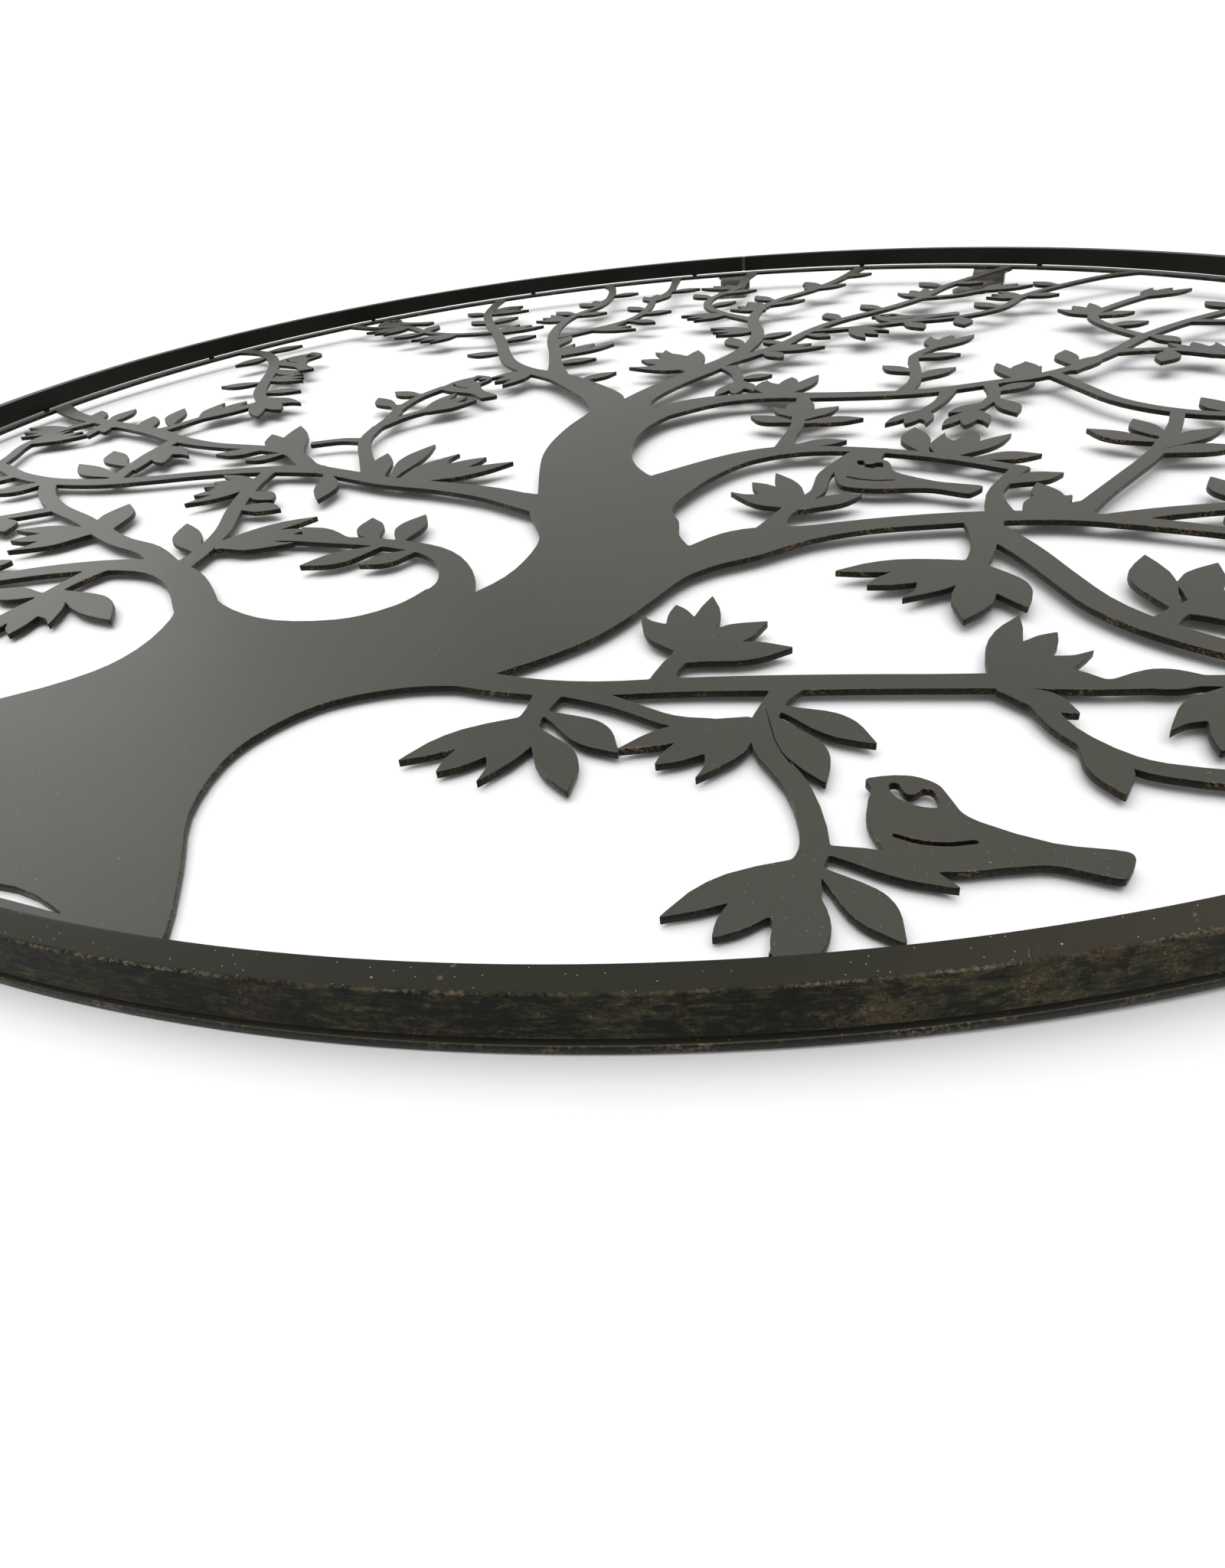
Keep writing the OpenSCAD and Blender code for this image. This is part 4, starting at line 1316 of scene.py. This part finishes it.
@dataclass
class RimHoop(Piece):
    """The flat bar rolled on edge into a hoop."""

    stations: int = 1080
    edge_ease: float = 0.01 * MM
    unevenness: float = 0.05 * MM
    waves: float = 55.0           # waves in a metre
    seed: float = 4.0

    def __post_init__(self) -> None:
        """Reads the hoop's sizes from its CAD node."""
        inner, outer = node_radii("rim_hoop")
        self.inner, self.outer = inner + self.edge_ease, outer - self.edge_ease
        low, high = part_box("rim_hoop")
        self.base, self.top = low[2], high[2]
        angles = np.degrees(np.arctan2(*node_points("hoop_seam_weld")[:, 1::-1].T))
        self.seam_from, self.seam_to = float(angles.min()), float(angles.max())

    def section(self) -> BarSection:
        """Gives the bar's cross-section."""
        return BarSection(self.outer - self.inner, self.top - self.base)

    def tree(self, material: bpy.types.Material) -> GeometryTree:
        """Builds the tree that sweeps the section round the rim.

        Args:
            material: the hoop's finish.

        Returns:
            The finished tree.
        """
        sweep = 360.0 - (self.seam_to - self.seam_from)
        g = GeometryTree("rolled_bar", {
            "Rim radius": ("NodeSocketFloat", (self.inner + self.outer) / 2.0),
            "Stations": ("NodeSocketInt", self.stations),
            "Start": ("NodeSocketFloat", math.radians(self.seam_to)),
            "Sweep": ("NodeSocketFloat", math.radians(sweep)),
            "Height": ("NodeSocketVector", (0.0, 0.0, (self.base + self.top) / 2.0)),
            "Unevenness": ("NodeSocketFloat", self.unevenness),
            "Waves": ("NodeSocketFloat", self.waves),
            "Seed": ("NodeSocketFloat", self.seed),
        })
        section = g.add("GeometryNodeMeshToCurve", {}, {0: g.given("Geometry")})
        arc = g.add("GeometryNodeCurveArc", {}, {
            "Resolution": g.given("Stations"), "Radius": g.given("Rim radius"),
            "Start Angle": g.given("Start"), "Sweep Angle": g.given("Sweep")})
        level = g.add("GeometryNodeSetCurveNormal", {"mode": "Z_UP"}, {"Curve": arc.outputs[0]})
        bar = g.add("GeometryNodeCurveToMesh", {}, {
            "Curve": level.outputs[0], "Profile Curve": section.outputs[0], "Fill Caps": True})
        place = g.add("GeometryNodeInputPosition")
        wave = g.add("ShaderNodeTexNoise", {"noise_dimensions": "4D"}, {
            "Vector": place.outputs[0], "W": g.given("Seed"), "Scale": g.given("Waves"),
            "Detail": 2.0})
        dip = g.add("ShaderNodeMath", {"operation": "MULTIPLY"},
                    {0: wave.outputs[0], 1: g.given("Unevenness")})
        outward = g.add("GeometryNodeInputNormal")
        inward = g.add("ShaderNodeVectorMath", {"operation": "SCALE"},
                       {0: outward.outputs[0], "Scale": Channel(g, dip.outputs[0]) * -1.0})
        worked = g.add("GeometryNodeSetPosition", {},
                       {"Geometry": bar.outputs[0], "Offset": inward.outputs[0]})
        lifted = g.add("GeometryNodeTransform", {},
                       {"Geometry": worked.outputs[0], "Translation": g.given("Height")})
        g.end(lifted.outputs[0], material)
        return g

    def build(self, patina: HoopPatina) -> bpy.types.Object:
        """Builds and dresses the hoop.

        Args:
            patina: its finish.

        Returns:
            The finished piece.
        """
        material = patina.material(self.outer, self.inner, self.top)
        points = self.section().points()
        edges = [(i, (i + 1) % len(points)) for i in range(len(points))]
        piece = path_object("hoop_bar", points, edges)
        self.tree(material).run(piece)
        return self.claim(piece, ["rim_hoop"], Slot.HOOP, material)


@dataclass
class SeamWeld(Piece):
    """The butt weld that closes the hoop: a filled gap, ground almost flush."""

    hoop: RimHoop
    stations: int = 25
    sunk: float = 0.12 * MM
    ripple: float = 0.09 * MM
    ripples: int = 5
    lap: float = 0.10             # degrees that the weld reaches over each end of the bar

    def build(self, scale: bpy.types.Material) -> bpy.types.Object:
        """Builds and dresses the weld.

        Args:
            scale: its finish.

        Returns:
            The finished piece.
        """
        middle = (self.hoop.inner + self.hoop.outer) / 2.0
        height = (self.hoop.base + self.hoop.top) / 2.0
        bar = self.hoop.section()
        start, end = self.hoop.seam_from - self.lap, self.hoop.seam_to + self.lap
        rows, size = [], 0
        for k in range(self.stations):
            share = k / (self.stations - 1)
            angle = math.radians(start + (end - start) * share)
            ripple = self.ripple * (0.5 - 0.5 * math.cos(2.0 * math.pi * self.ripples * share))
            shrink = self.sunk + ripple
            section = BarSection(bar.width - 2.0 * shrink, bar.height - 2.0 * shrink).points()
            size = len(section)
            for x, y, _ in section:
                radius = middle + x
                rows.append((radius * math.cos(angle), radius * math.sin(angle), height + y))
        faces = [(row + i, row + size + i, row + size + (i + 1) % size, row + (i + 1) % size)
                 for row in range(0, size * (self.stations - 1), size) for i in range(size)]
        faces.append(tuple(range(size)))
        faces.append(tuple(range(len(rows) - 1, len(rows) - 1 - size, -1)))
        smooth = np.arange(len(faces)) < len(faces) - 2
        piece = mesh_object("hoop_seam", np.array(rows), faces, {}, smooth)
        return self.claim(piece, ["hoop_seam_weld"], Slot.WELD, scale)


@dataclass
class GrooveTacks(Piece):
    """The small weld tacks in the groove that carry the hoop."""

    seed: int = 11
    spread: float = 0.14
    apart: float = 3.0            # degrees; a wider step leads to the next tack
    fullness: float = 1.24        # height of a tack, in heights of the groove
    roundness: int = 3

    def build(self, scale: bpy.types.Material) -> bpy.types.Object:
        """Builds and dresses the tacks.

        Args:
            scale: their finish.

        Returns:
            The finished piece.
        """
        points = node_points("weld_tacks")
        low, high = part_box("weld_tacks")
        inner, outer = node_radii("weld_tacks")
        angle = np.degrees(np.arctan2(points[:, 1], points[:, 0])) % 360.0
        tacks = int((np.diff(np.sort(angle)) > self.apart).sum()) + 1
        flatness = self.fullness * (high[2] - low[2]) / (outer - inner)
        g = GeometryTree("groove_tacks", {
            "Tacks": ("NodeSocketInt", tacks),
            "Rim radius": ("NodeSocketFloat", (inner + outer) / 2.0),
            "First": ("NodeSocketVector", (0.0, 0.0, math.pi / tacks)),
            "Height": ("NodeSocketVector", (0.0, 0.0, (low[2] + high[2]) / 2.0)),
            "Tack radius": ("NodeSocketFloat", (outer - inner) / 2.0),
            "Flatness": ("NodeSocketVector", (1.0, 1.0, flatness)),
            "Roundness": ("NodeSocketInt", self.roundness),
            "Seed": ("NodeSocketInt", self.seed),
        })
        ring = g.add("GeometryNodeMeshCircle", {}, {
            "Vertices": g.given("Tacks"), "Radius": g.given("Rim radius")})
        placed = g.add("GeometryNodeTransform", {}, {
            "Geometry": ring.outputs[0], "Translation": g.given("Height"),
            "Rotation": g.given("First")})
        blob = g.add("GeometryNodeMeshIcoSphere", {}, {
            "Radius": g.given("Tack radius"), "Subdivisions": g.given("Roundness")})
        size = g.add("FunctionNodeRandomValue", {"data_type": "FLOAT"}, {
            2: 1.0 - self.spread, 3: 1.0, "Seed": g.given("Seed")})
        squashed = g.add("ShaderNodeVectorMath", {"operation": "SCALE"}, {
            0: g.given("Flatness"), "Scale": size.outputs[1]})
        laid = g.add("GeometryNodeInstanceOnPoints", {}, {
            "Points": placed.outputs[0], "Instance": blob.outputs[0],
            "Scale": squashed.outputs[0]})
        g.end(laid.outputs[0], scale)
        piece = path_object("groove_tacks", [(0.0, 0.0, 0.0)], [])
        g.run(piece)
        return self.claim(piece, ["weld_tacks"], Slot.WELD, scale)


@dataclass
class HangerStrip(Piece):
    """A strip bent like a Z, with a keyhole slot in the flange against the wall."""

    node: str
    mount: str
    neck_width: float = 4.5 * MM
    neck_reach: float = 7.0 * MM
    bend: float = 1.7 * MM
    bend_steps: int = 8
    corner: float = 2.0 * MM
    arc_steps: int = 10
    soft: float = 0.22 * MM
    ribs_across: int = 9
    rib_reach: float = 0.86       # place of the outermost rib, in half widths
    cut_rub: float = 0.4

    def __post_init__(self) -> None:
        """Reads the strip's sizes from its CAD node and from its mount."""
        points = node_points(self.node)
        middle = points.mean(0)
        self.turn = math.atan2(-middle[0], middle[1])
        c, s = math.cos(self.turn), math.sin(self.turn)
        across = points[:, 0] * c + points[:, 1] * s
        out = -points[:, 0] * s + points[:, 1] * c
        levels = np.unique(np.round(points[:, 2], 6))
        self.half_width = float(np.ptp(across)) / 2.0
        self.thickness = float(levels[1] - levels[0])
        self.height = float(levels[-1])
        self.foot_out, self.flange_in = float(out.max()), float(out.min())
        self.leg_in = float(out[points[:, 2] > self.height - 10.0 * LEVEL_WITHIN].min())
        hole = next(m for m in frame["record"]["mounts"] if m["name"] == self.mount)
        self.hole_out = -hole["pos_m"][0] * s + hole["pos_m"][1] * c
        self.hole_radius = hole["dims"]["r_mm"] * MM

    def lengths(self) -> tuple[float, float, float, float]:
        """Measures the flat strip.

        Returns:
            Lengths of the foot, of one bend, of the leg and of the flange.
        """
        leg_middle = self.leg_in + self.thickness / 2.0
        foot = self.foot_out - leg_middle - self.bend
        leg = self.height - self.thickness - 2.0 * self.bend
        flange = leg_middle - self.bend - self.flange_in
        return foot, self.bend * QUARTER, leg, flange

    def placed(self, across: float, out: float, up: float) -> tuple[float, float, float]:
        """Turns a place on the hanger into the row frame.

        Args:
            across: distance to the right of the hanger's middle line.
            out: distance from the disc's axis along that line.
            up: height over the wall.

        Returns:
            The point in the row frame.
        """
        c, s = math.cos(self.turn), math.sin(self.turn)
        return across * c - out * s, across * s + out * c, up

    def bent(self, across: float, run: float, depth: float) -> tuple[float, float, float]:
        """Bends a point of the flat strip into place.

        Args:
            across: place across the strip.
            run: place along the strip, from the end of the foot.
            depth: distance below the strip's upper side.

        Returns:
            The point in the row frame.
        """
        foot, arc, leg, flange = self.lengths()
        middle = self.leg_in + self.thickness / 2.0
        half = self.thickness / 2.0
        side = half - depth
        if run < foot:
            out, up, normal = self.foot_out - run, self.height - half, (0.0, 1.0)
        elif run < foot + arc:
            a = (run - foot) / self.bend
            out = middle + self.bend - self.bend * math.sin(a)
            up = self.height - half - self.bend + self.bend * math.cos(a)
            normal = (-math.sin(a), math.cos(a))
        elif run < foot + arc + leg:
            out, up = middle, self.height - half - self.bend - (run - foot - arc)
            normal = (-1.0, 0.0)
        elif run < foot + 2.0 * arc + leg:
            a = (run - foot - arc - leg) / self.bend
            out = middle - self.bend + self.bend * math.cos(a)
            up = half + self.bend - self.bend * math.sin(a)
            normal = (-math.cos(a), math.sin(a))
        else:
            out = middle - self.bend - (run - foot - 2.0 * arc - leg)
            up, normal = half, (0.0, 1.0)
        return self.placed(across, out + normal[0] * side, up + normal[1] * side)

    def bend_runs(self) -> list[float]:
        """Lists the places along the strip where its two bends turn a step.

        Returns:
            Places from the end of the foot, in order.
        """
        foot, arc, leg, _ = self.lengths()
        return [start + arc * k / self.bend_steps
                for start in (foot, foot + arc + leg) for k in range(self.bend_steps + 1)]

    def outline(self) -> Loop:
        """Draws the flat strip's outline.

        Returns:
            The outline, left round, in (run, across).
        """
        foot, arc, leg, flange = self.lengths()
        end = foot + 2.0 * arc + leg + flange
        w, runs = self.half_width, self.bend_runs()
        big, small = self.corner, self.corner / 2.0
        points = arc_points((end - big, big - w), big, 3.0 * QUARTER, QUARTER, self.arc_steps)
        points += arc_points((end - big, w - big), big, 0.0, QUARTER, self.arc_steps)
        points += [(run, w) for run in reversed(runs)]
        points += arc_points((small, w - small), small, QUARTER, QUARTER, self.arc_steps)
        points += arc_points((small, small - w), small, 2.0 * QUARTER, QUARTER, self.arc_steps)
        points += [(run, -w) for run in runs]
        return np.array(points)

    def keyhole(self) -> Loop:
        """Draws the keyhole with its neck towards the leg.

        Returns:
            The outline, right round, in (run, across).
        """
        foot, arc, leg, _ = self.lengths()
        middle = self.leg_in + self.thickness / 2.0
        centre = foot + 2.0 * arc + leg + (middle - self.bend - self.hole_out)
        half = self.neck_width / 2.0
        meet = math.asin(half / self.hole_radius)
        neck = centre - (self.hole_radius + self.neck_reach - half)
        points = arc_points((centre, 0.0), self.hole_radius, math.pi - meet,
                            2.0 * (meet - math.pi), 4 * self.arc_steps)
        points += arc_points((neck, 0.0), half, -QUARTER, -math.pi, 2 * self.arc_steps)
        return np.array(points)

    def ribs(self) -> np.ndarray:
        """Lists points across the two bends, so that the faces can follow them.

        Returns:
            Points inside the outline, in (run, across).
        """
        across = np.linspace(-self.rib_reach, self.rib_reach, self.ribs_across) * self.half_width
        return np.array([(run, a) for run in self.bend_runs() for a in across])

    def build(self, name: str, paint: bpy.types.Material) -> bpy.types.Object:
        """Builds and dresses the strip.

        Args:
            name: the piece's name.
            paint: its finish.

        Returns:
            The finished piece.
        """
        plate = Plate([self.outline(), self.keyhole()], self.thickness, self.soft, self.soft,
                      self.ribs())
        points, faces, rub, cut = plate.build()
        placed = np.array([self.bent(across, run, depth) for run, across, depth in points])
        piece = mesh_object(name, placed, faces, {"rub": np.maximum(rub, cut * self.cut_rub)})
        piece.data.shade_smooth()
        return self.claim(piece, [self.node], Slot.HANGER, paint)


@dataclass
class HangerBeads(Piece):
    """The fillet welds beside each hanger's foot, laid as overlapping ripples."""

    hangers: list[HangerStrip]
    pitch: float = 0.55 * MM
    beside: float = 0.45          # distance beside the strip, in bead heights
    rim_end: float = 1.2 * MM
    leg_end: float = 2.2 * MM
    fullness: float = 0.98        # radius of a ripple, in half bead heights
    flatness: float = 0.75
    smallest: float = 0.84
    segments: int = 16
    rings: int = 10
    seed: int = 7

    def paths(self) -> tuple[list[tuple[float, float, float]], list[tuple[int, int]]]:
        """Lists the lines that the welds follow.

        Returns:
            Points in the row frame, and pairs of their numbers.
        """
        low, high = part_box("hanger_welds")
        points, edges = [], []
        for hanger in self.hangers:
            ends = (hanger.foot_out - self.rim_end, hanger.leg_in + hanger.thickness + self.leg_end)
            for side in (-1.0, 1.0):
                across = side * (hanger.half_width + self.beside * (high[2] - low[2]))
                edges.append((len(points), len(points) + 1))
                points += [hanger.placed(across, out, (low[2] + high[2]) / 2.0) for out in ends]
        return points, edges

    def build(self, scale: bpy.types.Material) -> bpy.types.Object:
        """Builds and dresses the welds.

        Args:
            scale: their finish.

        Returns:
            The finished piece.
        """
        low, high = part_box("hanger_welds")
        half = (high[2] - low[2]) / 2.0
        g = GeometryTree("fillet_ripples", {
            "Pitch": ("NodeSocketFloat", self.pitch),
            "Bead radius": ("NodeSocketFloat", half * self.fullness),
            "Squash": ("NodeSocketVector", (1.0, 1.0, self.flatness)),
            "Smallest": ("NodeSocketFloat", self.smallest),
            "Seed": ("NodeSocketInt", self.seed),
        })
        line = g.add("GeometryNodeMeshToCurve", {}, {0: g.given("Geometry")})
        dots = g.add("GeometryNodeCurveToPoints", {"mode": "LENGTH"},
                     {"Curve": line.outputs[0], "Length": g.given("Pitch")})
        ball = g.add("GeometryNodeMeshUVSphere", {}, {
            "Segments": self.segments, "Rings": self.rings, "Radius": g.given("Bead radius")})
        size = g.add("FunctionNodeRandomValue", {"data_type": "FLOAT"},
                     {2: g.given("Smallest"), 3: 1.0, "Seed": g.given("Seed")})
        shape = g.add("ShaderNodeVectorMath", {"operation": "SCALE"},
                      {0: g.given("Squash"), "Scale": size.outputs[1]})
        laid = g.add("GeometryNodeInstanceOnPoints", {}, {
            "Points": dots.outputs[0], "Instance": ball.outputs[0],
            "Rotation": dots.outputs["Rotation"], "Scale": shape.outputs[0]})
        g.end(laid.outputs[0], scale)
        points, edges = self.paths()
        piece = path_object("hanger_beads", points, edges)
        g.run(piece)
        return self.claim(piece, ["hanger_welds"], Slot.WELD, scale)


# -------------------------------------------------------------------- studio


@dataclass
class Studio:
    """A white table top, soft light and the camera."""

    eye: tuple[float, float, float] = (0.1579, -0.3394, 0.1019)
    heading: float = 30.0
    pitch: float = 32.93
    roll: float = -6.4
    lens: float = 21.97
    shift_up: float = -0.03125
    table_size: float = 12.0
    table_white: Colour = (0.87, 0.872, 0.874)
    sky: Colour = (1.0, 1.0, 1.0)
    ceiling: float = 2.45
    walls: float = 0.38
    haze: float = 1.45
    horizon: float = 1.25
    ceiling_edge: tuple[float, float] = (0.62, 0.92)
    haze_edge: tuple[float, float] = (0.28, 0.13)
    horizon_edge: tuple[float, float] = (0.12, 0.09)
    window_place: tuple[float, float, float] = (-1.45, 0.30, 0.80)
    window_size: float = 1.0
    window_watts: float = 4.2
    sensor: float = 36.0
    nearest: float = 0.005
    farthest: float = 50.0

    def table(self) -> None:
        """Lays the table top under the border's foot and the hangers' flanges."""
        low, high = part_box("border_ring")
        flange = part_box("hanger_left")
        foot_y, foot_z = low[1], low[2]
        rest_y, rest_z = flange[0][1], flange[0][2]
        slope = (rest_z - foot_z) / (rest_y - foot_y)
        half = self.table_size / 2.0
        corners = [(x, y, foot_z + slope * (y - foot_y))
                   for x, y in ((-half, -half), (half, -half), (half, half), (-half, half))]
        mesh = bpy.data.meshes.new("table_top")
        mesh.from_pydata(corners, [], [(0, 1, 2, 3)])
        table = bpy.data.objects.new("table_top", mesh)
        bpy.context.scene.collection.objects.link(table)
        s = Shader("table_white")
        cloud = s.noise(0.4, 2.0)
        rough = (0.55 + (cloud - 0.5) * 0.1).clamped()
        mesh.materials.append(s.finish(
            {"Base Color": (*self.table_white, 1.0), "Specular IOR Level": 0.2},
            {"Roughness": rough}))

    def window(self) -> None:
        """Hangs a square soft light that faces the middle of the disc."""
        lamp = bpy.data.lights.new("soft_window", "AREA")
        lamp.shape = "SQUARE"
        lamp.size = self.window_size
        lamp.energy = self.window_watts
        holder = bpy.data.objects.new("soft_window", lamp)
        holder.location = self.window_place
        holder.rotation_euler = (-Vector(self.window_place)).to_track_quat("-Z", "Y").to_euler()
        bpy.context.scene.collection.objects.link(holder)

    def surroundings(self) -> None:
        """Fills the room with pale light: a bright ceiling over darker walls."""
        world = bpy.data.worlds.new("studio")
        world.use_nodes = True
        world.node_tree.nodes.clear()
        g = Graph(world.node_tree)
        sight = g.add("ShaderNodeTexCoord").outputs["Generated"]
        towards = g.add("ShaderNodeSeparateXYZ", {}, {0: sight})
        height = Channel(g, towards.outputs[2])
        strength = (height.step(*self.ceiling_edge) * (self.ceiling - self.walls) + self.walls
                    + height.step(*self.haze_edge) * (self.haze - self.walls)
                    + height.step(*self.horizon_edge) * (self.horizon - self.haze))
        glow = g.add("ShaderNodeBackground", {}, {"Color": (*self.sky, 1.0), "Strength": strength})
        g.add("ShaderNodeOutputWorld", {}, {"Surface": glow.outputs[0]})
        bpy.context.scene.world = world

    def camera(self) -> None:
        """Places the camera low over the right foot of the disc."""
        lens = bpy.data.cameras.new("camera")
        lens.sensor_width = self.sensor
        lens.lens = self.lens
        lens.shift_y = self.shift_up
        lens.clip_start, lens.clip_end = self.nearest, self.farthest
        turn, dip, roll = (math.radians(a) for a in (self.heading, self.pitch, self.roll))
        ahead = Vector((-math.sin(turn) * math.cos(dip), math.cos(turn) * math.cos(dip),
                        -math.sin(dip)))
        right = Vector((math.cos(turn), math.sin(turn), 0.0))
        up = right.cross(ahead)
        right, up = (right * math.cos(roll) + up * math.sin(roll),
                     up * math.cos(roll) - right * math.sin(roll))
        holder = bpy.data.objects.new("camera", lens)
        facing = Matrix((right, up, -ahead)).transposed()
        holder.matrix_world = Matrix.Translation(self.eye) @ facing.to_4x4()
        bpy.context.scene.collection.objects.link(holder)
        bpy.context.scene.camera = holder

    def build(self) -> None:
        """Sets up table, light and camera."""
        self.camera()
        self.table()
        self.surroundings()
        self.window()
        bpy.context.scene.view_settings.view_transform = "Standard"


def main() -> None:
    """Builds every piece in order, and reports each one."""
    logging.basicConfig(level=logging.INFO, format="%(name)s: %(message)s")
    Studio().build()
    weld_scale = WeldScale().material()
    hanger_paint = HangerPaint().material()
    hoop = RimHoop()
    hangers = [HangerStrip("hanger_left", "hang_hole_left"),
               HangerStrip("hanger_right", "hang_hole_right")]
    pieces = [
        TreePanel().build(SheetCoat()),
        hoop.build(HoopPatina()),
        SeamWeld(hoop).build(weld_scale),
        GrooveTacks().build(weld_scale),
        hangers[0].build("hanger_strip_left", hanger_paint),
        hangers[1].build("hanger_strip_right", hanger_paint),
        HangerBeads(hangers).build(weld_scale),
    ]
    for piece in pieces:
        mesh = piece.data
        mesh.calc_loop_triangles()
        LOG.info("%s: %d points, %d triangles", piece.name, len(mesh.vertices),
                 len(mesh.loop_triangles))


if __name__ == "__main__":
    main()
